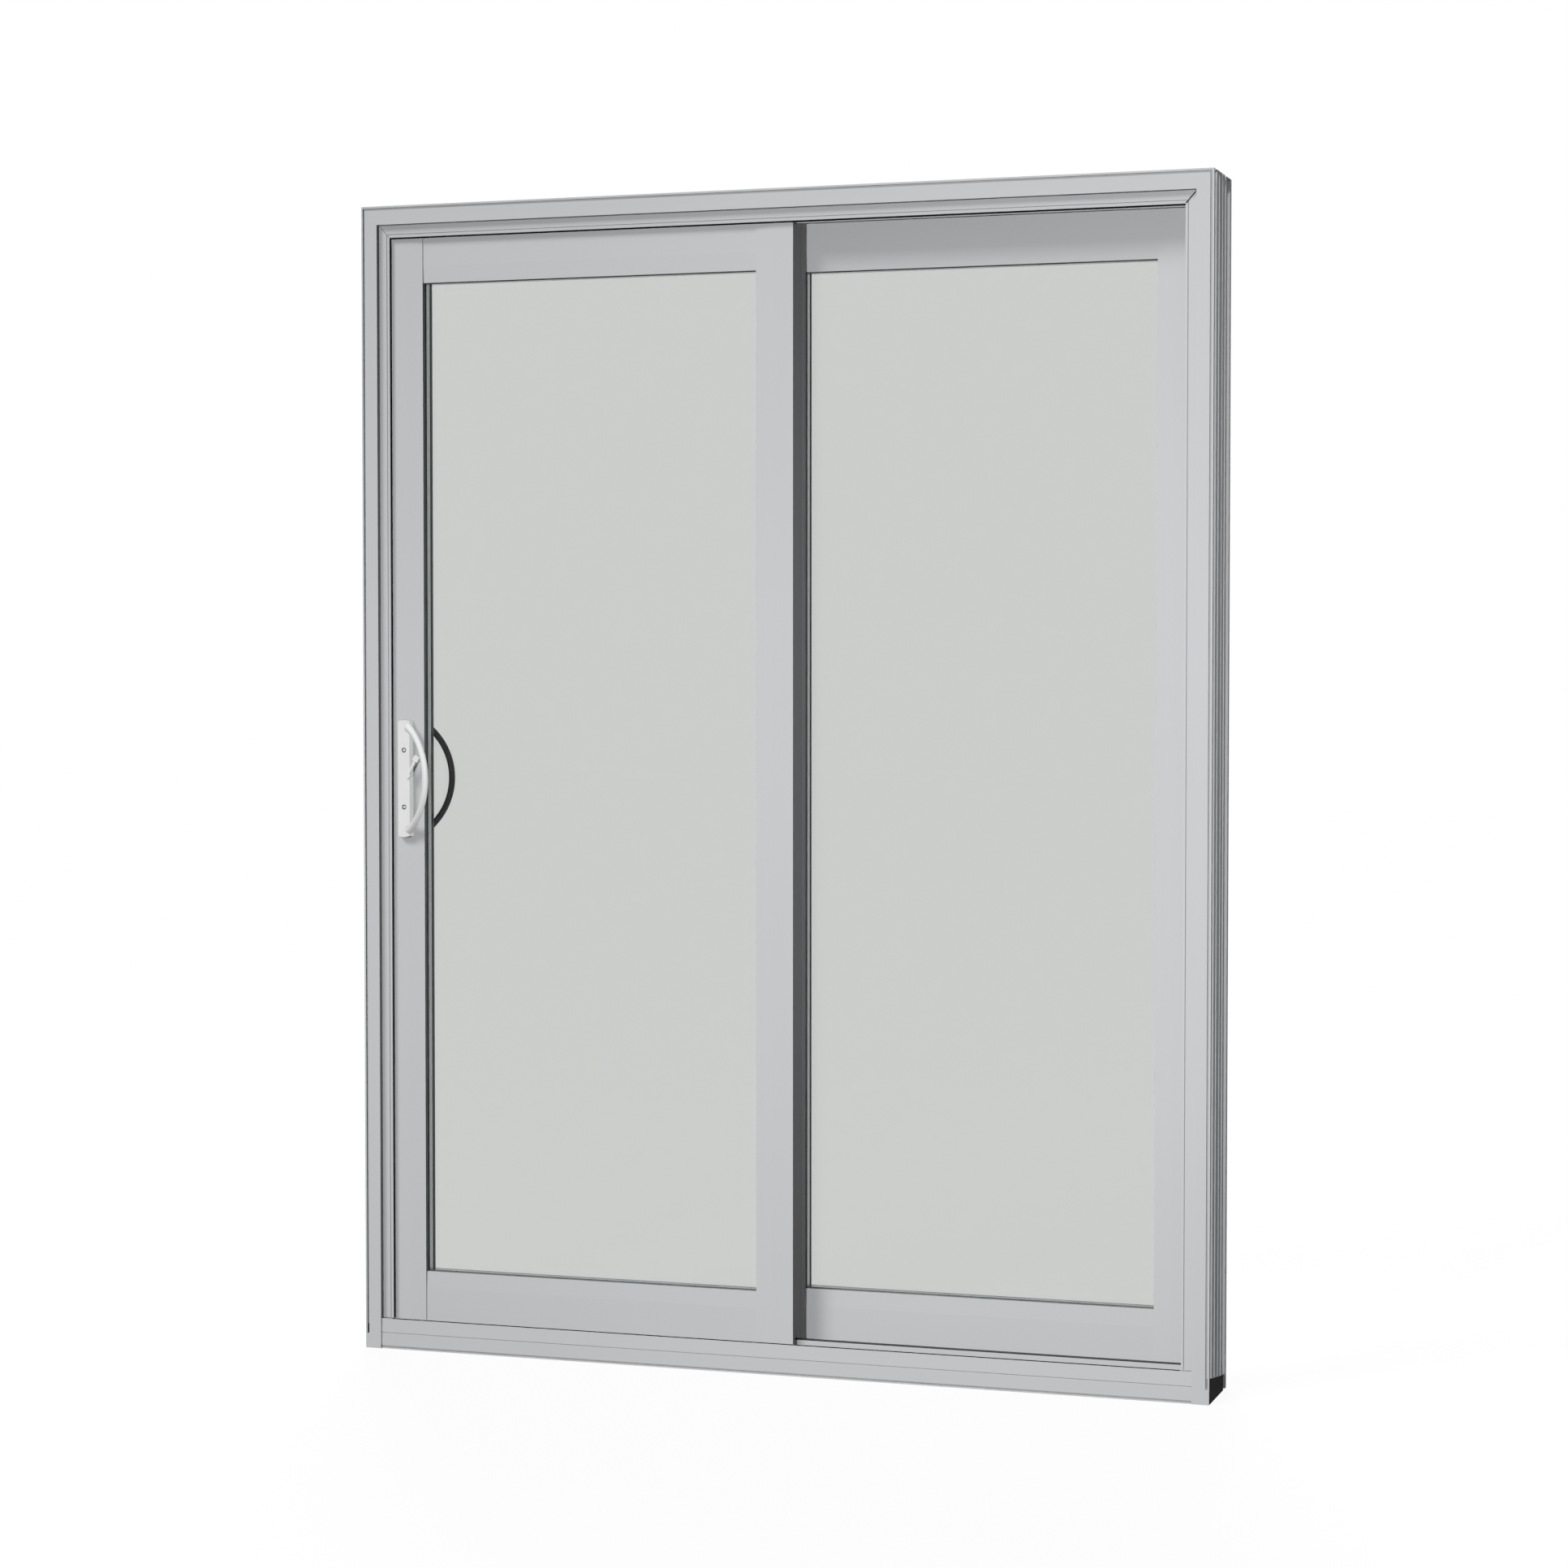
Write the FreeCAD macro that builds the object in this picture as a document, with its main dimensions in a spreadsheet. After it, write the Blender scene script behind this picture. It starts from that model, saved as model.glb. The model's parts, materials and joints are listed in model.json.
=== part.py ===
"""Two-panel sliding patio door: a mitred vinyl frame, a fixed panel and a sliding panel.

Every outline is drawn in one set of axes: x from the left outer side, y from the
room-side face, z from the underside of the sill. Each sub-part is then shifted so
that the model's origin is the middle of the sill's underside, with +Z up and the
room on the -Y side.
"""
import FreeCAD
import Part
import math
import operator
import os
import Sketcher

OVERALL_SIZES = {
    "door_width": 1517.0,
    "door_height": 2019.0,
    "door_depth": 148.0,
}

FRAME_SIZES = {
    "edge_lip": 3.0,
    "edge_groove": 3.3,
    "edge_groove_depth": 4.0,
    "jamb_face": 29.4,
    "jamb_reach": 49.2,
    "step_depth": 9.4,
    "step_inset": 0.6,
    "crease_depth": 10.0,
    "crease_cut": 1.1,
    "crease_half_width": 0.8,
    "leg_nose": 4.8,
    "leg_front": 10.5,
    "leg_back": 13.5,
    "mitre_ratio": 1.11,
    "back_stop": 117.5,
    "back_stop_wall": 4.0,
    "back_face_reach": 36.0,
    "screen_wall_ratio": 0.32,
    "screen_groove_ratio": 0.25,
    "back_bevel": 3.0,
    "edge_groove_stop": 26.0,
    "outer_groove_depth": 4.5,
    "front_land": 8.0,
    "head_rib_1_front": 20.0,
    "head_rib_1_back": 69.0,
    "head_rib_2_front": 79.0,
    "head_rib_2_back": 95.0,
    "head_back_land": 33.0,
    "jamb_rib_1_front": 23.0,
    "jamb_rib_1_back": 38.0,
    "jamb_rib_2_front": 47.0,
    "jamb_rib_2_back": 69.0,
    "jamb_rib_3_front": 75.0,
    "jamb_rib_3_back": 92.0,
    "jamb_rib_4_front": 101.0,
    "jamb_rib_4_back": 110.0,
    "jamb_back_land": 11.0,
    "divider_front": 69.2,
    "divider_wall": 2.5,
    "head_divider_reach": 42.0,
    "guide_overhang": 1.3,
    "retainer_front": 58.0,
    "retainer_wall": 5.6,
}

SILL_SIZES = {
    "sill_height": 53.3,
    "sill_inset": 2.0,
    "sill_seat_gap": 0.8,
    "sill_groove_low": 2.6,
    "sill_groove": 2.6,
    "sill_groove_depth": 3.0,
    "sill_crease": 28.3,
    "sill_setback": 0.6,
    "sill_leg_chamfer": 2.5,
    "sill_floor": 36.0,
    "sill_divider_top": 50.0,
    "sill_stop_top": 56.0,
    "sill_back_high": 38.0,
    "sill_back_low": 30.0,
    "track_width": 9.0,
    "track_top": 58.0,
    "track_foot": 17.0,
    "track_foot_thickness": 3.0,
    "track_chamfer": 1.5,
    "end_seal_front": 3.0,
    "end_seal_back": 122.0,
    "end_seal_front_height": 43.0,
    "end_seal_back_height": 26.0,
}

PANEL_SIZES = {
    "panel_thickness": 45.0,
    "sliding_front": 19.0,
    "fixed_front": 72.0,
    "panel_bottom": 42.0,
    "panel_top_gap": 38.0,
    "rail_height": 96.5,
    "jamb_stile_edge": 37.0,
    "jamb_stile_width": 71.2,
    "meeting_overlap": 34.4,
    "meeting_stile_width": 66.5,
    "interlock_overlap": 29.1,
    "interlock_stile_width": 66.5,
    "interlock_leg_width": 3.0,
    "interlock_leg_depth": 2.8,
    "interlock_leg_gap": 5.0,
    "member_crown": 1.2,
    "member_crown_width": 30.0,
    "rail_recess": 2.8,
    "track_channel": 21.0,
    "track_channel_depth": 24.0,
    "glass_unit_depth": 19.6,
    "glass_groove": 12.2,
    "glass_bite": 9.0,
    "pane_thickness": 3.2,
    "spacer_height": 10.0,
}

ROLLER_SIZES = {
    "roller_inset": 55.0,
    "housing_length": 56.0,
    "housing_width": 16.0,
    "housing_height": 24.0,
    "wheel_radius": 12.0,
    "wheel_width": 8.0,
    "wheel_slot_gap": 0.5,
    "wheel_track_gap": 0.3,
    "axle_radius": 2.5,
    "axle_length": 15.0,
    "axle_gap": 0.1,
}

HANDLE_SIZES = {
    "handle_centre": 74.5,
    "handle_height": 1013.5,
    "plate_width": 25.4,
    "plate_length": 204.0,
    "outer_plate_length": 224.0,
    "plate_depth": 12.0,
    "plate_arch": 3.0,
    "screw_spacing": 100.7,
    "screw_bore_radius": 4.4,
    "screw_bore_depth": 2.2,
    "plate_draft_angle": 8.0,
    "pull_inset": 3.0,
    "pull_half_length": 93.5,
    "outer_pull_half_length": 102.0,
    "pull_reach": 58.0,
    "pull_swing_angle": 32.3,
    "pull_radius": 5.5,
    "latch_offset": 8.5,
    "latch_rise": 6.0,
    "latch_hub_radius": 5.0,
    "latch_thickness": 4.0,
    "latch_gap": 0.3,
    "latch_arm": 34.0,
    "latch_arm_width": 4.0,
    "latch_tab": 10.0,
    "latch_angle": 60.7,
    "faceplate_width": 19.0,
    "faceplate_length": 180.0,
    "faceplate_thickness": 2.5,
    "keeper_width": 22.0,
    "keeper_length": 120.0,
    "keeper_thickness": 2.5,
}

ALL_SIZES = {
    **OVERALL_SIZES,
    **FRAME_SIZES,
    **SILL_SIZES,
    **PANEL_SIZES,
    **ROLLER_SIZES,
    **HANDLE_SIZES,
}

PULL_SIDES = 20
JAMB_RIBS = 5
HEAD_RIBS = 3

SHEET_NAME = "sizes"
POINT_TOLERANCE = 1e-6
OPERATIONS = {
    "+": operator.add,
    "-": operator.sub,
    "*": operator.mul,
    "/": operator.truediv,
}


class Size:
    """A number in millimetres together with the sheet formula that gives it."""

    def __init__(self, value, formula):
        self.value = float(value)
        self.formula = formula

    def join(self, sign, other):
        other = as_size(other)
        value = OPERATIONS[sign](self.value, other.value)
        return Size(value, f"({self.formula} {sign} {other.formula})")

    def __add__(self, other):
        return self.join("+", other)

    def __sub__(self, other):
        return self.join("-", other)

    def __mul__(self, other):
        return self.join("*", other)

    def __truediv__(self, other):
        return self.join("/", other)


class Circle:
    """A round outline by its centre and radius."""

    def __init__(self, x, y, radius):
        self.x = as_size(x)
        self.y = as_size(y)
        self.radius = as_size(radius)


class Sheet:
    """Reads the driving sizes by name as Size values."""

    def __getattr__(self, name):
        return Size(ALL_SIZES[name], f"{SHEET_NAME}.{name}")


def as_size(number):
    if isinstance(number, Size):
        return number
    return Size(number, f"{number:g}")


doc = FreeCAD.newDocument("patio_door")
sub_parts = []
size = Sheet()
ZERO = as_size(0)


def fill_sheet():
    sheet = doc.addObject("Spreadsheet::Sheet", SHEET_NAME)
    for row, (name, value) in enumerate(ALL_SIZES.items(), start=1):
        sheet.set(f"A{row}", name)
        sheet.set(f"B{row}", f"{value:g}")
        sheet.setAlias(f"B{row}", name)
    doc.recompute()


def bind(item, path, value):
    item.setExpression(path, as_size(value).formula)


def place(item, x=ZERO, y=ZERO, z=ZERO):
    """Put an object's own zero at x, y, z of the drawing axes."""
    bind(item, "Placement.Base.x", as_size(x) - size.door_width / 2)
    bind(item, "Placement.Base.y", as_size(y) - size.door_depth / 2)
    bind(item, "Placement.Base.z", z)


def keep(item, name):
    """Hand the object in as the sub-part of that name."""
    item.Label = name
    sub_parts.append(item)
    return item


def new_body(name):
    body = doc.addObject("PartDesign::Body", name)
    place(body)
    return body


def arc_between(start, end, rise):
    """An arc from start to end whose middle stands rise to the left of the chord."""
    chord = end - start
    left = FreeCAD.Vector(-chord.y, chord.x, 0).normalize()
    middle = (start + end) * 0.5 + left * rise
    return Part.Arc(start, middle, end)


def arc_radius(start, end, rise):
    """The radius of that arc, with its formula."""
    run_x = end[0] - start[0]
    run_y = end[1] - start[1]
    square = run_x * run_x + run_y * run_y
    size_of_rise = Size(abs(rise.value), f"abs({rise.formula})")
    return (square / 4 + rise * rise) / (size_of_rise * 2)


def draw_loop(sketch, loop):
    """Draw a closed outline whose corners are held at their formulas.

    A corner is (x, y), or (x, y, rise) where an arc leads on to the next corner.
    """
    corners = [tuple(as_size(part) for part in corner) for corner in loop]
    spots = [FreeCAD.Vector(corner[0].value, corner[1].value, 0) for corner in corners]
    edges = []
    radii = []
    for index, corner in enumerate(corners):
        after = (index + 1) % len(corners)
        if len(corner) == 3:
            edge = sketch.addGeometry(arc_between(spots[index], spots[after], corner[2].value))
            radii.append((edge, arc_radius(corner, corners[after], corner[2])))
        else:
            edge = sketch.addGeometry(Part.LineSegment(spots[index], spots[after]))
        starts_here = sketch.getPoint(edge, 1).isEqual(spots[index], POINT_TOLERANCE)
        edges.append((edge, 1, 2) if starts_here else (edge, 2, 1))
    for index, (edge, _, last) in enumerate(edges):
        next_edge, first, _ = edges[(index + 1) % len(edges)]
        sketch.addConstraint(Sketcher.Constraint("Coincident", edge, last, next_edge, first))
    for (edge, first, _), corner in zip(edges, corners):
        for kind, part in (("DistanceX", corner[0]), ("DistanceY", corner[1])):
            rule = sketch.addConstraint(Sketcher.Constraint(kind, -1, 1, edge, first, part.value))
            bind(sketch, f"Constraints[{rule}]", part)
    for edge, radius in radii:
        rule = sketch.addConstraint(Sketcher.Constraint("Radius", edge, radius.value))
        bind(sketch, f"Constraints[{rule}]", radius)


def draw_circle(sketch, circle):
    centre = FreeCAD.Vector(circle.x.value, circle.y.value, 0)
    upright = FreeCAD.Vector(0, 0, 1)
    edge = sketch.addGeometry(Part.Circle(centre, upright, circle.radius.value))
    for kind, part in (("DistanceX", circle.x), ("DistanceY", circle.y)):
        rule = sketch.addConstraint(Sketcher.Constraint(kind, -1, 1, edge, 3, part.value))
        bind(sketch, f"Constraints[{rule}]", part)
    rule = sketch.addConstraint(Sketcher.Constraint("Radius", edge, circle.radius.value))
    bind(sketch, f"Constraints[{rule}]", circle.radius)


def draw(body, plane, start, loops):
    """A sketch on one of the body's own planes, moved along that plane's axis."""
    sketch = body.newObject("Sketcher::SketchObject", f"{body.Name}_outline")
    support = next(item for item in body.Origin.OriginFeatures if item.Role == f"{plane}_Plane")
    sketch.AttachmentSupport = [(support, "")]
    sketch.MapMode = "FlatFace"
    bind(sketch, "AttachmentOffset.Base.z", ZERO - start if plane == "XZ" else start)
    for loop in loops:
        if isinstance(loop, Circle):
            draw_circle(sketch, loop)
        else:
            draw_loop(sketch, loop)
    return sketch


def pad(body, plane, start, length, *loops):
    """Add the outlines as a prism from start, along the plane's positive axis."""
    feature = body.newObject("PartDesign::Pad", f"{body.Name}_pad")
    feature.Profile = draw(body, plane, as_size(start), loops)
    feature.Reversed = plane == "XZ"
    bind(feature, "Length", length)
    return feature


def pocket(body, plane, start, length, *loops):
    """Cut the outlines as a prism from start, along the plane's positive axis."""
    feature = body.newObject("PartDesign::Pocket", f"{body.Name}_pocket")
    feature.Profile = draw(body, plane, as_size(start), loops)
    feature.Reversed = plane != "XZ"
    bind(feature, "Length", length)
    return feature


def block(name, x, y, z, length, width, height):
    """A plain rectangular sub-part."""
    item = doc.addObject("Part::Box", name)
    bind(item, "Length", length)
    bind(item, "Width", width)
    bind(item, "Height", height)
    place(item, x, y, z)
    return item


def rectangle(left, low, right, high):
    return [(left, low), (right, low), (right, high), (left, high)]


def many_sided(centre, radius):
    """A section around (centre, 0) that passes for round with far fewer facets."""
    corners = []
    for corner in range(PULL_SIDES):
        turn = math.radians(360 * (corner + 0.5) / PULL_SIDES)
        corners.append((centre + radius * math.cos(turn), radius * math.sin(turn)))
    return corners


def frame_profile(member, rib_count):
    """Cross-section of a frame member as (reach in from the outer side, y)."""
    nose = size.jamb_reach - size.leg_nose
    groove_end = size.edge_lip + size.edge_groove
    stop_end = size.back_stop + size.back_stop_wall
    bevel_end = stop_end + size.back_bevel
    screen_room = size.door_depth - bevel_end
    screen_front = bevel_end + screen_room * size.screen_wall_ratio
    screen_end = screen_front + screen_room * size.screen_groove_ratio
    room_side = [
        (ZERO, ZERO),
        (size.edge_lip, ZERO),
        (size.edge_lip, size.edge_groove_depth),
        (groove_end, size.edge_groove_depth),
        (groove_end, ZERO),
        (size.jamb_face, ZERO),
        (size.jamb_face + size.step_inset, size.step_depth),
        (nose - size.crease_half_width, size.crease_depth),
        (nose, size.crease_depth + size.crease_cut),
        (nose + size.crease_half_width, size.crease_depth),
        (size.jamb_reach, size.leg_front),
        (size.jamb_reach, size.leg_back),
        (size.jamb_face, size.leg_back),
    ]
    back_side = [
        (size.jamb_face, size.back_stop),
        (size.jamb_reach, size.back_stop),
        (size.jamb_reach, stop_end),
        (size.back_face_reach, bevel_end),
        (size.back_face_reach, screen_front),
        (size.jamb_face, screen_front),
        (size.jamb_face, screen_end),
        (size.back_face_reach, screen_end),
        (size.back_face_reach, size.door_depth),
        (ZERO, size.door_depth),
    ]
    middle_ribs = range(rib_count - 1, 0, -1)
    groove_backs = [size.door_depth - getattr(size, f"{member}_back_land")]
    groove_backs += [getattr(size, f"{member}_rib_{rib}_front") for rib in middle_ribs]
    groove_fronts = [getattr(size, f"{member}_rib_{rib}_back") for rib in middle_ribs]
    groove_fronts.append(size.front_land)
    outer_side = []
    for groove_front, groove_back in zip(groove_fronts, groove_backs):
        outer_side += [
            (ZERO, groove_back),
            (size.outer_groove_depth, groove_back),
            (size.outer_groove_depth, groove_front),
            (ZERO, groove_front),
        ]
    return room_side, back_side, outer_side


def from_side(side, reach):
    """The x that lies reach in from the left or right outer side."""
    if side == "left":
        return as_size(reach)
    return size.door_width - reach


def mitre_corner(side, reach):
    """A point of the mitre line, reach in from the outer side."""
    return from_side(side, reach), size.door_height - size.mitre_ratio * reach


def make_jamb(side):
    body = new_body(f"{side}_jamb")
    room_side, back_side, outer_side = frame_profile("jamb", JAMB_RIBS)
    section = room_side + back_side + outer_side
    pad(body, "XY", ZERO, size.door_height,
        [(from_side(side, reach), deep) for reach, deep in section])
    groove = (size.edge_lip, size.edge_lip + size.edge_groove)
    pad(body, "XY", ZERO, size.edge_groove_stop, rectangle(
        from_side(side, groove[0]), ZERO, from_side(side, groove[1]), size.edge_groove_depth))
    inner = size.jamb_reach * 2
    pocket(body, "XZ", ZERO, size.door_depth, [
        mitre_corner(side, ZERO),
        mitre_corner(side, inner),
        (from_side(side, inner), size.door_height),
    ])
    seat = from_side(side, size.jamb_face) if side == "left" else from_side(side, inner)
    pocket(body, "YZ", seat, inner - size.jamb_face, rectangle(
        ZERO, ZERO, (size.leg_back + size.sliding_front) / 2, size.sill_height + size.sill_seat_gap))
    pocket(body, "YZ", seat, inner - size.jamb_face, [
        (size.back_stop, ZERO),
        *sill_back_edge(),
        (size.door_depth, ZERO),
    ])
    pocket(body, "YZ", end_seal_start(side), size.outer_groove_depth, end_seal_outline())
    return keep(body, f"{side}_jamb")


def end_seal_start(side):
    if side == "left":
        return ZERO
    return size.door_width - size.outer_groove_depth


def end_seal_outline():
    return [
        (size.end_seal_front, ZERO),
        (size.end_seal_back, ZERO),
        (size.end_seal_back, size.end_seal_back_height),
        (size.end_seal_front, size.end_seal_front_height),
    ]


def make_end_seal(side):
    """The dark pad let into the jamb's outer side over the end of the sill."""
    body = new_body(f"{side}_sill_seal")
    pad(body, "YZ", end_seal_start(side), size.outer_groove_depth, end_seal_outline())
    return keep(body, f"{side}_sill_seal")


def make_head():
    """The jamb section stood on its side and stretched to meet the mitres."""
    body = new_body("head")
    room_side, back_side, outer_side = frame_profile("head", HEAD_RIBS)
    guide_end = size.jamb_reach + size.guide_overhang
    guide_front = track_front()
    divider_back = size.divider_front + size.divider_wall
    lips = [
        (size.jamb_face, guide_front),
        (guide_end, guide_front),
        (guide_end, guide_front + size.track_width),
        (size.jamb_face, guide_front + size.track_width),
        (size.jamb_face, size.divider_front),
        (size.head_divider_reach, size.divider_front),
        (size.head_divider_reach, divider_back),
        (size.jamb_face, divider_back),
    ]
    section = room_side + lips + back_side + outer_side
    pad(body, "YZ", ZERO, size.door_width,
        [(deep, size.door_height - size.mitre_ratio * reach) for reach, deep in section])
    for side in ("left", "right"):
        inner = size.jamb_reach * 2
        pocket(body, "XZ", ZERO, size.door_depth, [
            mitre_corner(side, ZERO),
            mitre_corner(side, inner),
            (from_side(side, ZERO), mitre_corner(side, inner)[1]),
        ])
    return keep(body, "head")


def sill_back_edge():
    """The sill's top from the fixed panel's stop out to the weather side, as (y, z)."""
    stop_end = size.back_stop + size.back_stop_wall
    return [
        (size.back_stop, size.sill_stop_top),
        (stop_end, size.sill_stop_top),
        (stop_end, size.sill_back_high),
        (size.door_depth, size.sill_back_low),
    ]


def make_sill():
    body = new_body("sill")
    groove_high = size.sill_groove_low + size.sill_groove
    divider_back = size.divider_front + size.divider_wall
    face = size.sill_inset
    outline = [
        (face, ZERO),
        (face, size.sill_groove_low),
        (face + size.sill_groove_depth, size.sill_groove_low),
        (face + size.sill_groove_depth, groove_high),
        (face, groove_high),
        (face, size.sill_crease - size.crease_half_width),
        (face + size.crease_cut, size.sill_crease),
        (face, size.sill_crease + size.crease_half_width),
        (face + size.sill_setback, size.sill_height),
        (size.leg_back - size.sill_leg_chamfer, size.sill_height),
        (size.leg_back, size.sill_height - size.sill_leg_chamfer),
        (size.leg_back, size.sill_floor),
        (size.divider_front, size.sill_floor),
        (size.divider_front, size.sill_divider_top),
        (divider_back, size.sill_divider_top),
        (divider_back, size.panel_bottom),
        (size.back_stop, size.panel_bottom),
        *sill_back_edge(),
        (size.door_depth, ZERO),
    ]
    pad(body, "YZ", size.jamb_face, clear_width(), outline)
    return keep(body, "sill")


def clear_width():
    return size.door_width - size.jamb_face * 2


def sliding_middle():
    return size.sliding_front + size.panel_thickness / 2


def track_front():
    return sliding_middle() - size.track_width / 2


def make_roller_track():
    body = new_body("roller_track")
    middle = sliding_middle()
    foot = size.track_foot / 2
    half = size.track_width / 2
    foot_top = size.sill_floor + size.track_foot_thickness
    shoulder = size.track_top - size.track_chamfer
    pad(body, "YZ", size.jamb_face, clear_width(), [
        (middle - foot, size.sill_floor),
        (middle + foot, size.sill_floor),
        (middle + foot, foot_top),
        (middle + half, foot_top),
        (middle + half, shoulder),
        (middle + half - size.track_chamfer, size.track_top),
        (middle - half + size.track_chamfer, size.track_top),
        (middle - half, shoulder),
        (middle - half, foot_top),
        (middle - foot, foot_top),
    ])
    return keep(body, "roller_track")


def make_fixed_panel_retainer():
    """The strip in the empty track of the right jamb that holds the fixed panel back."""
    body = new_body("fixed_panel_retainer")
    reach = from_side("right", size.jamb_reach)
    root = from_side("right", size.jamb_face)
    inner = from_side("right", size.jamb_face + size.retainer_wall)
    front = size.fixed_front - size.retainer_wall
    pad(body, "XY", size.sill_height, head_lip_height() - size.sill_height, [
        (root, size.retainer_front),
        (root, size.fixed_front),
        (reach, size.fixed_front),
        (reach, size.fixed_front - size.retainer_wall / 2),
        (inner, front),
        (inner, size.retainer_front),
    ])
    return keep(body, "fixed_panel_retainer")


def panel_top():
    return size.door_height - size.panel_top_gap


def head_lip_height():
    """Height of the head's lowest edge, the guide rib."""
    return size.door_height - size.mitre_ratio * (size.jamb_reach + size.guide_overhang)


def glass_lip():
    """Depth of panel member in front of the glass unit."""
    return (size.panel_thickness - size.glass_unit_depth) / 2


def stile_profile(outer, sight, front):
    """Section of a stile as (x, y), from its outer edge to the edge beside the glass."""
    sign = 1 if sight.value > outer.value else -1
    wide = (sight - outer) * sign
    thick = size.panel_thickness
    crown = size.member_crown
    shoulder = size.member_crown_width
    glass_front = glass_lip()
    glass_back = glass_lip() + size.glass_unit_depth
    floor = wide - size.glass_groove
    section = [
        (ZERO, ZERO),
        (wide - shoulder, ZERO),
        (wide, crown),
        (wide, glass_front),
        (floor, glass_front),
        (floor, glass_back),
        (wide, glass_back),
        (wide, thick - crown),
        (wide - shoulder, thick),
        (ZERO, thick),
    ]
    return [(outer + across * sign, front + deep) for across, deep in section]


def add_interlock_leg(stile, outer, sign, front, leg_side):
    """The lip along a stile's outer edge that hooks behind the other panel's stile."""
    low = size.sill_divider_top + size.interlock_leg_gap
    divider_end = size.door_height - size.mitre_ratio * size.head_divider_reach
    root = front + size.interlock_leg_width
    tip = front - size.interlock_leg_depth
    if leg_side == "back":
        root = front + size.panel_thickness - size.interlock_leg_width
        tip = front + size.panel_thickness + size.interlock_leg_depth
    pad(stile, "XY", low, divider_end - size.interlock_leg_gap - low,
        rectangle(outer, root, outer + size.interlock_leg_width * sign, tip))


def make_stile(name, outer, sight, front, leg_side=None, on_track=False):
    body = new_body(name)
    sign = 1 if sight.value > outer.value else -1
    low = size.panel_bottom
    high = panel_top()
    pad(body, "XY", low, high - low, stile_profile(outer, sight, front))
    if leg_side:
        add_interlock_leg(body, outer, sign, front, leg_side)
    if on_track:
        left = outer if sign == 1 else sight
        wide = (sight - outer) * sign
        near = sliding_middle() - size.track_channel / 2
        far = near + size.track_channel
        pocket(body, "YZ", left, wide,
               rectangle(near, low, far, low + size.track_channel_depth))
        pocket(body, "YZ", left, wide,
               rectangle(near, high - size.track_channel_depth, far, high))
    return keep(body, name)


def make_rail(name, left, right, sight, sign, front):
    """A rail set back between two stiles: glass groove on one edge, track channel on the other."""
    body = new_body(name)
    thick = size.panel_thickness
    near = size.rail_recess
    far = thick - size.rail_recess
    crown = size.member_crown
    shoulder = size.member_crown_width
    tall = size.rail_height
    glass_front = glass_lip()
    glass_back = glass_lip() + size.glass_unit_depth
    channel_front = (thick - size.track_channel) / 2
    channel_back = channel_front + size.track_channel
    roof = tall - size.track_channel_depth
    section = [
        (near + crown, ZERO),
        (near, shoulder),
        (near, tall),
        (channel_front, tall),
        (channel_front, roof),
        (channel_back, roof),
        (channel_back, tall),
        (far, tall),
        (far, shoulder),
        (far - crown, ZERO),
        (glass_back, ZERO),
        (glass_back, size.glass_groove),
        (glass_front, size.glass_groove),
        (glass_front, ZERO),
    ]
    pad(body, "YZ", left, right - left,
        [(front + deep, sight + out * sign) for deep, out in section])
    return body


def make_glass(prefix, left, right, low, high, front):
    """Two panes and the spacer ring that holds them apart."""
    bite = size.glass_bite
    x = left - bite
    z = low - bite
    wide = right - left + bite * 2
    tall = high - low + bite * 2
    unit_front = front + glass_lip()
    spacer_front = unit_front + size.pane_thickness
    spacer_depth = size.glass_unit_depth - size.pane_thickness * 2
    inner = block(f"{prefix}_inner_pane", x, unit_front, z, wide, size.pane_thickness, tall)
    keep(inner, f"{prefix}_inner_pane")
    outer = block(f"{prefix}_outer_pane", x, spacer_front + spacer_depth, z,
                  wide, size.pane_thickness, tall)
    keep(outer, f"{prefix}_outer_pane")
    spacer = new_body(f"{prefix}_glass_spacer")
    ring = size.spacer_height
    pad(spacer, "XZ", spacer_front, spacer_depth,
        rectangle(x, z, x + wide, z + tall),
        rectangle(x + ring, z + ring, x + wide - ring, z + tall - ring))
    keep(spacer, f"{prefix}_glass_spacer")


def make_fixed_panel():
    front = size.fixed_front
    left_edge = size.door_width / 2 - size.interlock_overlap
    left = left_edge + size.interlock_stile_width
    right_edge = size.door_width - size.jamb_stile_edge
    right = right_edge - size.jamb_stile_width
    low = size.panel_bottom + size.rail_height
    high = panel_top() - size.rail_height
    make_stile("interlock_stile", left_edge, left, front, leg_side="room")
    make_stile("fixed_jamb_stile", right_edge, right, front)
    keep(make_rail("fixed_bottom_rail", left, right, low, -1, front), "fixed_bottom_rail")
    keep(make_rail("fixed_top_rail", left, right, high, 1, front), "fixed_top_rail")
    make_glass("fixed", left, right, low, high, front)


def roller_centres(left, right):
    return {
        "left": left + size.roller_inset,
        "right": right - size.roller_inset,
    }


def make_sliding_panel():
    front = size.sliding_front
    left_edge = size.jamb_stile_edge
    left = left_edge + size.jamb_stile_width
    right_edge = size.door_width / 2 + size.meeting_overlap
    right = right_edge - size.meeting_stile_width
    low = size.panel_bottom + size.rail_height
    high = panel_top() - size.rail_height
    lock_stile = make_stile("lock_stile", left_edge, left, front, on_track=True)
    cut_faceplate_seat(lock_stile)
    make_stile("meeting_stile", right_edge, right, front, leg_side="back", on_track=True)
    bottom_rail = make_rail("sliding_bottom_rail", left, right, low, -1, front)
    for side, centre in roller_centres(left, right).items():
        cut_roller_pocket(bottom_rail, centre)
        make_roller(side, centre)
    keep(bottom_rail, "sliding_bottom_rail")
    keep(make_rail("sliding_top_rail", left, right, high, 1, front), "sliding_top_rail")
    make_glass("sliding", left, right, low, high, front)


def channel_roof():
    return size.panel_bottom + size.track_channel_depth


def housing_front():
    return sliding_middle() - size.housing_width / 2


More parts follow.
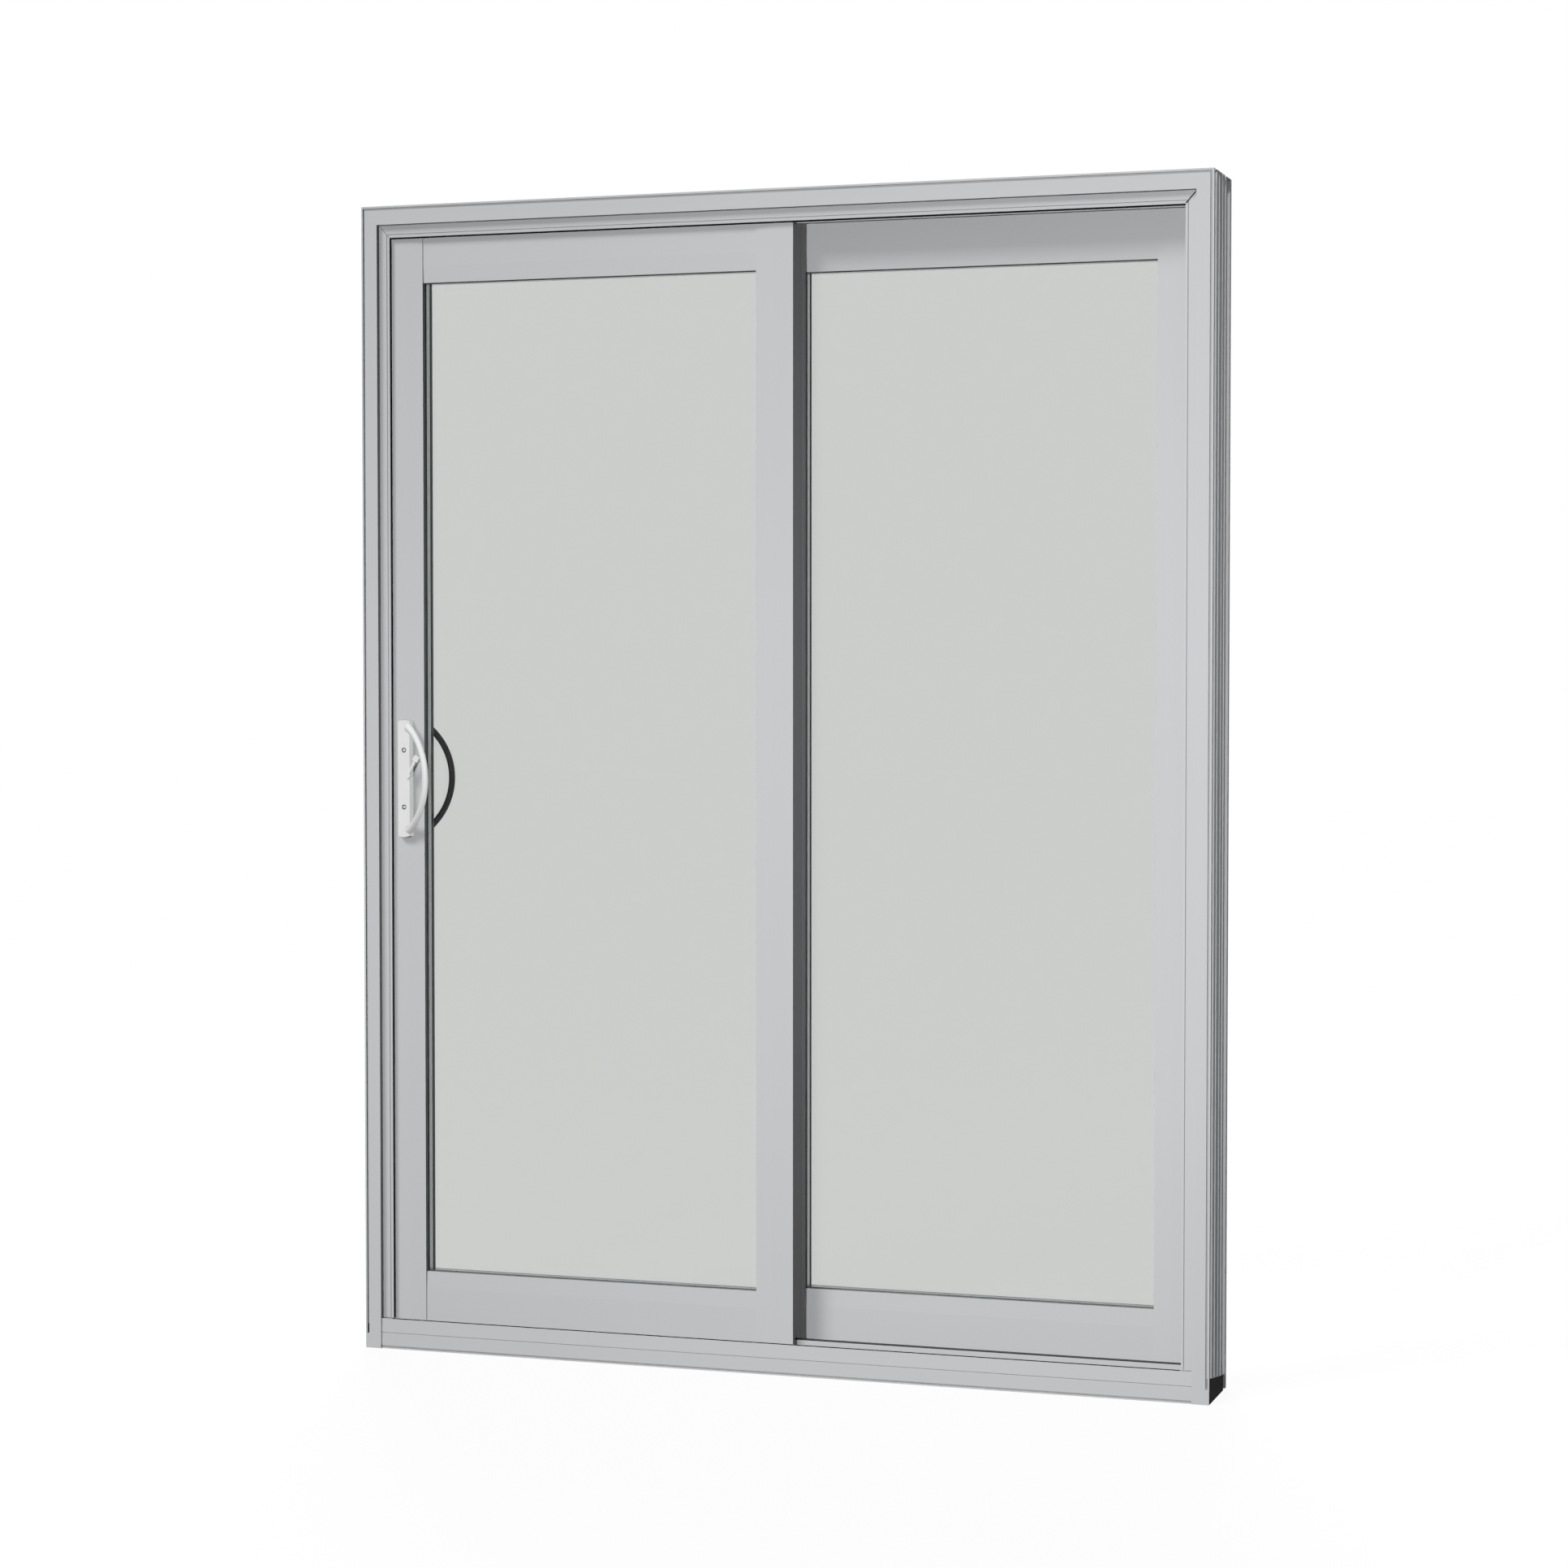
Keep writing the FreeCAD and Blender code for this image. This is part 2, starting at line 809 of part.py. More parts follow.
def cut_roller_pocket(rail, centre):
    half = size.housing_length / 2
    pocket(rail, "XZ", housing_front(), size.housing_width, rectangle(
        centre - half, channel_roof(), centre + half, channel_roof() + size.housing_height))


def make_roller(side, centre):
    """A wheel on its axle, and the housing that carries it in the bottom rail."""
    half = size.housing_length / 2
    low = channel_roof()
    housing = new_body(f"{side}_roller_housing")
    pad(housing, "XZ", housing_front(), size.housing_width, rectangle(
        centre - half, low, centre + half, low + size.housing_height))
    slot_half = size.wheel_radius + size.wheel_slot_gap * 2
    slot_front = sliding_middle() - size.wheel_width / 2 - size.wheel_slot_gap
    axle_height = size.track_top + size.wheel_track_gap + size.wheel_radius
    pocket(housing, "XZ", slot_front, size.wheel_width + size.wheel_slot_gap * 2, rectangle(
        centre - slot_half, low, centre + slot_half, axle_height + slot_half))
    pocket(housing, "XZ", housing_front(), size.housing_width,
           Circle(centre, axle_height, size.axle_radius + size.axle_gap))
    keep(housing, f"{side}_roller_housing")
    wheel = doc.addObject("PartDesign::Body", f"{side}_roller_wheel")
    place(wheel, centre, sliding_middle() - size.axle_length / 2, axle_height)
    stub = (size.axle_length - size.wheel_width) / 2
    turn = wheel.newObject("PartDesign::Revolution", f"{side}_roller_turn")
    turn.Profile = draw(wheel, "YZ", ZERO, [[
        (ZERO, ZERO),
        (size.axle_length, ZERO),
        (size.axle_length, size.axle_radius),
        (stub + size.wheel_width, size.axle_radius),
        (stub + size.wheel_width, size.wheel_radius),
        (stub, size.wheel_radius),
        (stub, size.axle_radius),
        (ZERO, size.axle_radius),
    ]])
    turn.ReferenceAxis = (turn.Profile[0], ["H_Axis"])
    turn.Angle = 360.0
    keep(wheel, f"{side}_roller_wheel")


def cut_faceplate_seat(lock_stile):
    middle = sliding_middle()
    half_wide = size.faceplate_width / 2
    half_long = size.faceplate_length / 2
    pocket(lock_stile, "YZ", size.jamb_stile_edge, size.faceplate_thickness, rectangle(
        middle - half_wide, size.handle_height - half_long,
        middle + half_wide, size.handle_height + half_long))


def make_lock_faceplate():
    plate = block("lock_faceplate", size.jamb_stile_edge,
                  sliding_middle() - size.faceplate_width / 2,
                  size.handle_height - size.faceplate_length / 2,
                  size.faceplate_thickness, size.faceplate_width, size.faceplate_length)
    return keep(plate, "lock_faceplate")


def make_lock_keeper():
    plate = block("lock_keeper", size.jamb_face,
                  sliding_middle() - size.keeper_width / 2,
                  size.handle_height - size.keeper_length / 2,
                  size.keeper_thickness, size.keeper_width, size.keeper_length)
    return keep(plate, "lock_keeper")


def make_handle(side):
    """A plate and a bowed pull in one casting, on the room or the weather side."""
    name = f"{side}_handle"
    outward = -1 if side == "interior" else 1
    seat = size.sliding_front
    length = size.plate_length
    half = size.pull_half_length
    if side == "exterior":
        seat = seat + size.panel_thickness
        length = size.outer_plate_length
        half = size.outer_pull_half_length
    plate = new_body(f"{name}_plate")
    left = size.handle_centre - size.plate_width / 2
    right = size.handle_centre + size.plate_width / 2
    low = size.handle_height - length / 2
    high = size.handle_height + length / 2
    slab = pad(plate, "XZ", seat, size.plate_depth, [
        (left, low, ZERO - size.plate_arch),
        (right, low),
        (right, high, ZERO - size.plate_arch),
        (left, high),
    ])
    slab.Reversed = side == "exterior"
    bind(slab, "TaperAngle", ZERO - size.plate_draft_angle)
    if side == "interior":
        for rise in (size.screw_spacing / 2, ZERO - size.screw_spacing / 2):
            pocket(plate, "XZ", seat - size.plate_depth, size.screw_bore_depth, Circle(
                size.handle_centre, size.handle_height + rise, size.screw_bore_radius))
    bow = doc.addObject("PartDesign::Body", f"{name}_bow")
    radius = (half * half + size.pull_reach * size.pull_reach) / (size.pull_reach * 2)
    back = radius - size.pull_reach
    swing = size.pull_swing_angle
    run = Size(math.cos(math.radians(swing.value)), f"cos({swing.formula} * 1 deg)")
    lift = Size(math.sin(math.radians(swing.value)), f"sin({swing.formula} * 1 deg)")
    place(bow,
          size.handle_centre + size.pull_inset - back * run,
          seat + size.plate_depth / 2 * outward - back * lift * outward,
          size.handle_height)
    bow.Placement.Rotation = FreeCAD.Rotation(FreeCAD.Vector(0, 0, outward), swing.value)
    bind(bow, "Placement.Rotation.Angle", swing)
    turn = bow.newObject("PartDesign::Revolution", f"{name}_turn")
    turn.Profile = draw(bow, "XY", ZERO, [many_sided(radius, size.pull_radius)])
    turn.ReferenceAxis = (turn.Profile[0], ["V_Axis"])
    turn.Midplane = True
    ratio = half / radius
    half_turn = Size(math.degrees(math.asin(ratio.value)), f"asin({ratio.formula})")
    bind(turn, "Angle", half_turn * 2)
    casting = doc.addObject("Part::MultiFuse", name)
    casting.Shapes = [plate, bow]
    return keep(casting, name)


def make_thumb_latch():
    """A lever on the room-side plate: hub, arm and thumb tab in one piece."""
    body = doc.addObject("PartDesign::Body", "thumb_latch")
    face = size.sliding_front - size.plate_depth - size.latch_gap - size.latch_thickness
    place(body, size.handle_centre + size.latch_offset, face,
          size.handle_height + size.latch_rise)
    body.Placement.Rotation = FreeCAD.Rotation(FreeCAD.Vector(0, -1, 0), size.latch_angle.value)
    bind(body, "Placement.Rotation.Angle", size.latch_angle)
    half_arm = size.latch_arm_width / 2
    half_tab = size.latch_tab / 2
    reach = size.latch_arm - half_tab
    pad(body, "XZ", ZERO, size.latch_thickness, Circle(ZERO, ZERO, size.latch_hub_radius))
    pad(body, "XZ", ZERO, size.latch_thickness, rectangle(
        ZERO, ZERO - half_arm, reach + half_arm, half_arm))
    pad(body, "XZ", ZERO, size.latch_thickness, rectangle(
        reach, ZERO - half_tab, reach + size.latch_tab, half_tab))
    return keep(body, "thumb_latch")


def check_and_write():
    """Stop if any object failed or any cut missed, then write one file per sub-part."""
    doc.recompute()
    for item in doc.Objects:
        if "Invalid" in item.State or "Error" in item.State:
            raise RuntimeError(f"{item.Label} failed: {item.State}")
        if item.TypeId == "PartDesign::Pocket":
            if item.Shape.Volume >= item.BaseFeature.Shape.Volume:
                raise RuntimeError(f"{item.Label} cuts nothing")
    os.makedirs("parts", exist_ok=True)
    for item in sub_parts:
        shape = item.Shape
        if shape.isNull() or not shape.isValid():
            raise RuntimeError(f"{item.Label} has no valid shape")
        if len(shape.Solids) != 1:
            raise RuntimeError(f"{item.Label} has {len(shape.Solids)} solids")
        shape.exportStep(f"parts/{item.Label}.step")


fill_sheet()
make_head()
for jamb_side in ("left", "right"):
    make_jamb(jamb_side)
    make_end_seal(jamb_side)
make_sill()
make_roller_track()
make_fixed_panel_retainer()
make_lock_keeper()
make_fixed_panel()
make_sliding_panel()
make_lock_faceplate()
make_handle("interior")
make_handle("exterior")
make_thumb_latch()
check_and_write()
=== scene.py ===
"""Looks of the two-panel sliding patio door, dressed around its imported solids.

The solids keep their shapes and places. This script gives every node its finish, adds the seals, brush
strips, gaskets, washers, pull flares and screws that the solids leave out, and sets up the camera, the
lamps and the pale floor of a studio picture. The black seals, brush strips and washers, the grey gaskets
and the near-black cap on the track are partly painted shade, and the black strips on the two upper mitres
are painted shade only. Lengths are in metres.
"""
import json
import logging
import math
from dataclasses import dataclass
from enum import Enum
from typing import Callable, Iterable

import bpy
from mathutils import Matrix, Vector

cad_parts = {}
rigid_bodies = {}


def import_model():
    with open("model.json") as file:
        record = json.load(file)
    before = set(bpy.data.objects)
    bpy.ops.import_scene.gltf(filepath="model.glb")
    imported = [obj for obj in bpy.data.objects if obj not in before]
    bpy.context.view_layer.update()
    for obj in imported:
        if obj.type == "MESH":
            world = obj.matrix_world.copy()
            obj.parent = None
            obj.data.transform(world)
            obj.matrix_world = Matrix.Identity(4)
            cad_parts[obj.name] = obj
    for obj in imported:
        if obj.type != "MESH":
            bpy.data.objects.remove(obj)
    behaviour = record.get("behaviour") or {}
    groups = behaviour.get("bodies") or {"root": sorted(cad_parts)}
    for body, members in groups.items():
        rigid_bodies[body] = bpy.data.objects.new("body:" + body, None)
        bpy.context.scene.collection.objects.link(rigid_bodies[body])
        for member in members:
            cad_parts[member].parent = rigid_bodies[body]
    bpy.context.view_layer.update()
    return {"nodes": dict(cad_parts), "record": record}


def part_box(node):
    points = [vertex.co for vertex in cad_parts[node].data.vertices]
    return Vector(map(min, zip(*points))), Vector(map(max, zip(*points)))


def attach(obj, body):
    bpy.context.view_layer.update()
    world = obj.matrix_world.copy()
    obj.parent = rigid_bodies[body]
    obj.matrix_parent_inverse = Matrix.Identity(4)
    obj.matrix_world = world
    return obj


LOG = logging.getLogger("patio_door")
MM = 0.001
HAIR = 0.02 * MM
SQUARE_ON = 0.99
SMOOTH_UNDER = math.radians(30)
EDGE_STEPS = 2

# Most values of a noise pattern lie between these two
NOISE_WEAK = 0.3
NOISE_STRONG = 0.7

# Colour sockets of the mixing node, whose names repeat for its other kinds of value
MIX_FIRST = 6
MIX_SECOND = 7
MIX_RESULT = 2

Colour = tuple[float, float, float, float]
Piece = bpy.types.Object
Socket = bpy.types.NodeSocket


class Body(Enum):
    """The bodies that carry added pieces."""

    FRAME = "door_frame"
    PANEL = "sliding_panel"


class Slot(Enum):
    """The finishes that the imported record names."""

    VINYL = "white_vinyl"
    GLASS = "clear_glass"
    SPACER = "grey_spacer"
    WHITE_ENAMEL = "white_enamel"
    BLACK_ENAMEL = "black_enamel"
    RUBBER = "black_rubber"
    STEEL = "plated_steel"


class Run(Enum):
    """The way a piece runs, which is the way its die or brush lines lie."""

    ACROSS = 0
    DEEP = 1
    UPRIGHT = 2


class Side(Enum):
    """The two faces of the door, by the direction that points away from it."""

    ROOM = -1.0
    WEATHER = 1.0


class ShaderGraph:
    """A material with one main shader, and short calls that wire patterns into it."""

    def __init__(self, name: str) -> None:
        """Start a material.

        Args:
            name: Name of the material.
        """
        self.material = bpy.data.materials.new(name)
        self.material.use_nodes = True
        self.tree = self.material.node_tree
        self.shader = self.tree.nodes["Principled BSDF"]
        self.coordinates = self.tree.nodes.new("ShaderNodeTexCoord")

    def put(self, socket: str, value: float | Colour) -> None:
        """Set one of the shader's own sockets."""
        self.shader.inputs[socket].default_value = value

    def drive(self, socket: str, source: Socket) -> None:
        """Wire a pattern into one of the shader's sockets."""
        self.tree.links.new(source, self.shader.inputs[socket])

    def noise(self, scale: float, stretch: Iterable[float] = (1, 1, 1), detail: float = 3.0) -> Socket:
        """Add a noise pattern on the piece's own coordinates.

        Args:
            scale: Waves per metre.
            stretch: Factor on each axis, small along the way the pattern is drawn out.
            detail: Octaves of finer noise.

        Returns:
            The noise value, about 0 to 1.
        """
        mapping = self.tree.nodes.new("ShaderNodeMapping")
        mapping.inputs["Scale"].default_value = tuple(stretch)
        noise = self.tree.nodes.new("ShaderNodeTexNoise")
        noise.inputs["Scale"].default_value = scale
        noise.inputs["Detail"].default_value = detail
        self.tree.links.new(self.coordinates.outputs["Object"], mapping.inputs["Vector"])
        self.tree.links.new(mapping.outputs["Vector"], noise.inputs["Vector"])
        return noise.outputs["Fac"]

    def between(self, source: Socket, low: float, high: float) -> Socket:
        """Spread a noise value over a range of numbers.

        Args:
            source: The noise value.
            low: Result where the noise is weak.
            high: Result where the noise is strong.

        Returns:
            The spread value.
        """
        spread = self.tree.nodes.new("ShaderNodeMapRange")
        spread.inputs["From Min"].default_value = NOISE_WEAK
        spread.inputs["From Max"].default_value = NOISE_STRONG
        spread.inputs["To Min"].default_value = low
        spread.inputs["To Max"].default_value = high
        self.tree.links.new(source, spread.inputs["Value"])
        return spread.outputs["Result"]

    def blend(self, factor: Socket, first: Colour, second: Colour) -> Socket:
        """Mix two colours by a value.

        Args:
            factor: 0 for the first colour, 1 for the second.
            first: Colour at 0.
            second: Colour at 1.

        Returns:
            The mixed colour.
        """
        mix = self.tree.nodes.new("ShaderNodeMix")
        mix.data_type = "RGBA"
        mix.inputs[MIX_FIRST].default_value = first
        mix.inputs[MIX_SECOND].default_value = second
        self.tree.links.new(factor, mix.inputs["Factor"])
        return mix.outputs[MIX_RESULT]

    def emboss(self, height: Socket, distance: float, strength: float) -> None:
        """Let a pattern stand proud of the surface.

        Args:
            height: The pattern.
            distance: Height of its crests.
            strength: Share of that height that shows.
        """
        bump = self.tree.nodes.new("ShaderNodeBump")
        bump.inputs["Distance"].default_value = distance
        bump.inputs["Strength"].default_value = strength
        self.tree.links.new(height, bump.inputs["Height"])
        self.drive("Normal", bump.outputs["Normal"])

    def above(self, height: float) -> Socket:
        """Tell the upper part of a piece from the lower one.

        Args:
            height: Where the upper part begins.

        Returns:
            1 above that height, and 0 below.
        """
        split = self.tree.nodes.new("ShaderNodeSeparateXYZ")
        test = self.tree.nodes.new("ShaderNodeMath")
        test.operation = "GREATER_THAN"
        test.inputs[1].default_value = height
        self.tree.links.new(self.coordinates.outputs["Object"], split.inputs["Vector"])
        self.tree.links.new(split.outputs["Z"], test.inputs[0])
        return test.outputs["Value"]


def shade(colour: Colour, factor: float) -> Colour:
    """Make a colour lighter or darker.

    Args:
        colour: The colour to start from.
        factor: Above 1 for lighter, below 1 for darker.

    Returns:
        The new colour, with the same alpha.
    """
    return (colour[0] * factor, colour[1] * factor, colour[2] * factor, colour[3])


def drawn_out(run: Run, along: float) -> tuple[float, float, float]:
    """Stretch for a pattern that is drawn out along one axis.

    Args:
        run: The axis along which the pattern is long.
        along: Factor on that axis.

    Returns:
        The factor for each axis.
    """
    stretch = [1.0, 1.0, 1.0]
    stretch[run.value] = along
    return tuple(stretch)


@dataclass(frozen=True)
class ExtrudedVinyl:
    """Satin white vinyl with faint die lines along its run and a cloudy cast."""

    colour: Colour = (0.655, 0.668, 0.685, 1.0)
    cloud: float = 0.02
    cloud_scale: float = 3.0
    cloud_stretch: float = 0.3
    sheen_low: float = 0.50
    sheen_high: float = 0.62
    gloss: float = 0.06
    die_line: float = 0.03 * MM
    die_line_scale: float = 900.0
    die_line_stretch: float = 0.01
    die_line_strength: float = 0.25

    def material(self, run: Run) -> bpy.types.Material:
        """Make the finish for pieces that run one way.

        Args:
            run: The way they run.

        Returns:
            The finish.
        """
        graph = ShaderGraph(f"{Slot.VINYL.value}_{run.name.lower()}")
        haze = graph.noise(self.cloud_scale, drawn_out(run, self.cloud_stretch))
        clouds = graph.between(haze, 0.0, 1.0)
        pale = shade(self.colour, 1.0 + self.cloud)
        dull = shade(self.colour, 1.0 - self.cloud)
        graph.drive("Base Color", graph.blend(clouds, dull, pale))
        lines = graph.noise(self.die_line_scale, drawn_out(run, self.die_line_stretch), detail=2.0)
        graph.drive("Roughness", graph.between(lines, self.sheen_low, self.sheen_high))
        graph.emboss(lines, self.die_line, self.die_line_strength)
        graph.put("Specular IOR Level", self.gloss)
        return graph.material


@dataclass(frozen=True)
class ShadeCappedTrack:
    """The vinyl track with a steel cap over its crown, coloured near black as painted shade on the track's
    top.
    """

    vinyl: ExtrudedVinyl = ExtrudedVinyl()
    # Near-black cap colour: steel darkened to paint the shade on the track's top
    steel: Colour = (0.06, 0.06, 0.062, 1.0)
    shade_cap_from: float = 56.1 * MM
    line_scale: float = 1400.0
    line_stretch: float = 0.004
    sheen_low: float = 0.42
    sheen_high: float = 0.58

    def material(self) -> bpy.types.Material:
        """Make the finish, split by height, with painted shade above the cap line.

        Returns:
            The finish.
        """
        graph = ShaderGraph("shade_capped_track")
        cap = graph.above(self.shade_cap_from)
        graph.drive("Base Color", graph.blend(cap, self.vinyl.colour, self.steel))
        graph.drive("Metallic", cap)
        lines = graph.noise(self.line_scale, drawn_out(Run.ACROSS, self.line_stretch), detail=2.0)
        graph.drive("Roughness", graph.between(lines, self.sheen_low, self.sheen_high))
        graph.put("Specular IOR Level", self.vinyl.gloss)
        return graph.material


@dataclass(frozen=True)
class ClearGlass:
    """Coated float glass with a green-grey body, a weak mirror and a very slight draw wave."""

    colour: Colour = (0.770, 0.778, 0.771, 1.0)
    mirror: Colour = (0.4, 0.4, 0.4, 1.0)
    refraction: float = 1.45
    wave: float = 0.01 * MM
    wave_scale: float = 1.5
    wave_stretch: tuple[float, float, float] = (1.0, 1.0, 0.4)
    wave_strength: float = 0.05

    def material(self) -> bpy.types.Material:
        """Make the finish.

        Returns:
            The finish.
        """
        graph = ShaderGraph(Slot.GLASS.value)
        graph.put("Base Color", self.colour)
        graph.put("Transmission Weight", 1.0)
        graph.put("Roughness", 0.0)
        graph.put("IOR", self.refraction)
        graph.put("Specular Tint", self.mirror)
        draw = graph.noise(self.wave_scale, self.wave_stretch, detail=0.0)
        graph.emboss(draw, self.wave, self.wave_strength)
        return graph.material


@dataclass(frozen=True)
class RolledMetal:
    """Bare or plated metal with brush lines along its run."""

    name: str
    colour: Colour
    sheen_low: float
    sheen_high: float
    tone_low: float = 0.88
    tone_high: float = 1.06
    line_height: float = 0.01 * MM
    line_scale: float = 1600.0
    line_stretch: float = 0.02
    line_strength: float = 0.3

    def material(self, run: Run) -> bpy.types.Material:
        """Make the finish for pieces that run one way.

        Args:
            run: The way they run.

        Returns:
            The finish.
        """
        graph = ShaderGraph(f"{self.name}_{run.name.lower()}")
        lines = graph.noise(self.line_scale, drawn_out(run, self.line_stretch), detail=3.0)
        tone = graph.between(lines, 0.0, 1.0)
        dull = shade(self.colour, self.tone_low)
        bright = shade(self.colour, self.tone_high)
        graph.drive("Base Color", graph.blend(tone, dull, bright))
        graph.drive("Roughness", graph.between(lines, self.sheen_low, self.sheen_high))
        graph.put("Metallic", 1.0)
        graph.emboss(lines, self.line_height, self.line_strength)
        return graph.material


@dataclass(frozen=True)
class CastEnamel:
    """Baked enamel on a casting, with a soft orange-peel surface."""

    name: str
    colour: Colour
    sheen: float
    gloss: float
    sheen_swing: float = 0.04
    tone_low: float = 0.975
    tone_high: float = 1.015
    tone_scale: float = 30.0
    peel_height: float = 0.04 * MM
    peel_scale: float = 420.0
    peel_strength: float = 0.25

    def material(self) -> bpy.types.Material:
        """Make the finish.

        Returns:
            The finish.
        """
        graph = ShaderGraph(self.name)
        peel = graph.noise(self.peel_scale, detail=1.0)
        tone = graph.between(graph.noise(self.tone_scale), 0.0, 1.0)
        dull = shade(self.colour, self.tone_low)
        bright = shade(self.colour, self.tone_high)
        graph.drive("Base Color", graph.blend(tone, dull, bright))
        sheen = graph.between(peel, self.sheen - self.sheen_swing, self.sheen + self.sheen_swing)
        graph.drive("Roughness", sheen)
        graph.put("Specular IOR Level", self.gloss)
        graph.emboss(peel, self.peel_height, self.peel_strength)
        return graph.material


@dataclass(frozen=True)
class SealRubber:
    """Dull rubber with a grainy skin."""

    name: str
    colour: Colour
    dust_low: float = 0.85
    dust_high: float = 1.3
    dust_scale: float = 25.0
    sheen_low: float = 0.70
    sheen_high: float = 0.88
    gloss: float = 0.03
    grain_height: float = 0.05 * MM
    grain_scale: float = 1800.0
    grain_strength: float = 0.4

    def material(self) -> bpy.types.Material:
        """Make the finish.

        Returns:
            The finish.
        """
        graph = ShaderGraph(self.name)
        grain = graph.noise(self.grain_scale, detail=4.0)
        dust = graph.between(graph.noise(self.dust_scale), 0.0, 1.0)
        clean = shade(self.colour, self.dust_low)
        dusty = shade(self.colour, self.dust_high)
        graph.drive("Base Color", graph.blend(dust, clean, dusty))
        graph.drive("Roughness", graph.between(grain, self.sheen_low, self.sheen_high))
        graph.put("Specular IOR Level", self.gloss)
        graph.emboss(grain, self.grain_height, self.grain_strength)
        return graph.material


class Finishes:
    """All finishes of the door, each made once for each way its pieces run."""

    def __init__(self) -> None:
        """Make the finishes, those with lines for every run."""
        self.vinyl = {run: ExtrudedVinyl().material(run) for run in Run}
        self.track = ShadeCappedTrack().material()
        self.glass = ClearGlass().material()
        spacer = RolledMetal(
            Slot.SPACER.value, colour=(0.44, 0.47, 0.47, 1.0), sheen_low=0.22, sheen_high=0.32)
        steel = RolledMetal(
            Slot.STEEL.value, colour=(0.52, 0.52, 0.51, 1.0), sheen_low=0.30, sheen_high=0.45)
        self.spacer = {run: spacer.material(run) for run in Run}
        self.steel = {run: steel.material(run) for run in Run}
        white = CastEnamel(
            Slot.WHITE_ENAMEL.value, colour=(0.84, 0.85, 0.84, 1.0), sheen=0.42, gloss=0.25)
        black = CastEnamel(
            Slot.BLACK_ENAMEL.value, colour=(0.008, 0.009, 0.010, 1.0), sheen=0.40, gloss=0.12)
        self.white_enamel = white.material()
        self.black_enamel = black.material()
        # Black rubber, which also paints shade on the sill seal, the brush strips, the mitre strips and
        # the screw washers
        self.rubber = SealRubber(Slot.RUBBER.value, (0.012, 0.012, 0.0125, 1.0)).material()
        # Grey rubber of the glazing gaskets, also painted shade on the tops of the glazing lips
        self.wedge_rubber_shade = SealRubber("wedge_rubber_shade", (0.24, 0.25, 0.25, 1.0)).material()

    def pick(self, slot: Slot, run: Run) -> bpy.types.Material:
        """Choose the finish of a piece.

        Args:
            slot: The record's name for the finish.
            run: The way the piece runs.

        Returns:
            The material.
        """
        by_run = {Slot.VINYL: self.vinyl, Slot.SPACER: self.spacer, Slot.STEEL: self.steel}
        plain = {
            Slot.GLASS: self.glass,
            Slot.WHITE_ENAMEL: self.white_enamel,
            Slot.BLACK_ENAMEL: self.black_enamel,
            Slot.RUBBER: self.rubber,
        }
        return by_run[slot][run] if slot in by_run else plain[slot]


def longest_way(node: str) -> Run:
    """Find the way a solid runs, from its box.

    Args:
        node: Name of the solid.

    Returns:
        Its longest way.
    """
    low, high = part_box(node)
    span = high - low
    return max(Run, key=lambda run: span[run.value])


def dress_solids(frame: dict, finishes: Finishes) -> None:
    """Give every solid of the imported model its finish.

    Args:
        frame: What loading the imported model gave.
        finishes: The finishes to choose from.
    """
    for row in frame["record"]["subparts"]:
        node = row["node"]
        solid = frame["nodes"][node]
        material = finishes.pick(Slot(row["material_slot"]), longest_way(node))
        # The roller track wears the finish whose cap is painted dark as shade
        if node == "roller_track":
            material = finishes.track
        solid.data.materials.clear()
        solid.data.materials.append(material)
        LOG.info("%s wears %s", node, material.name)


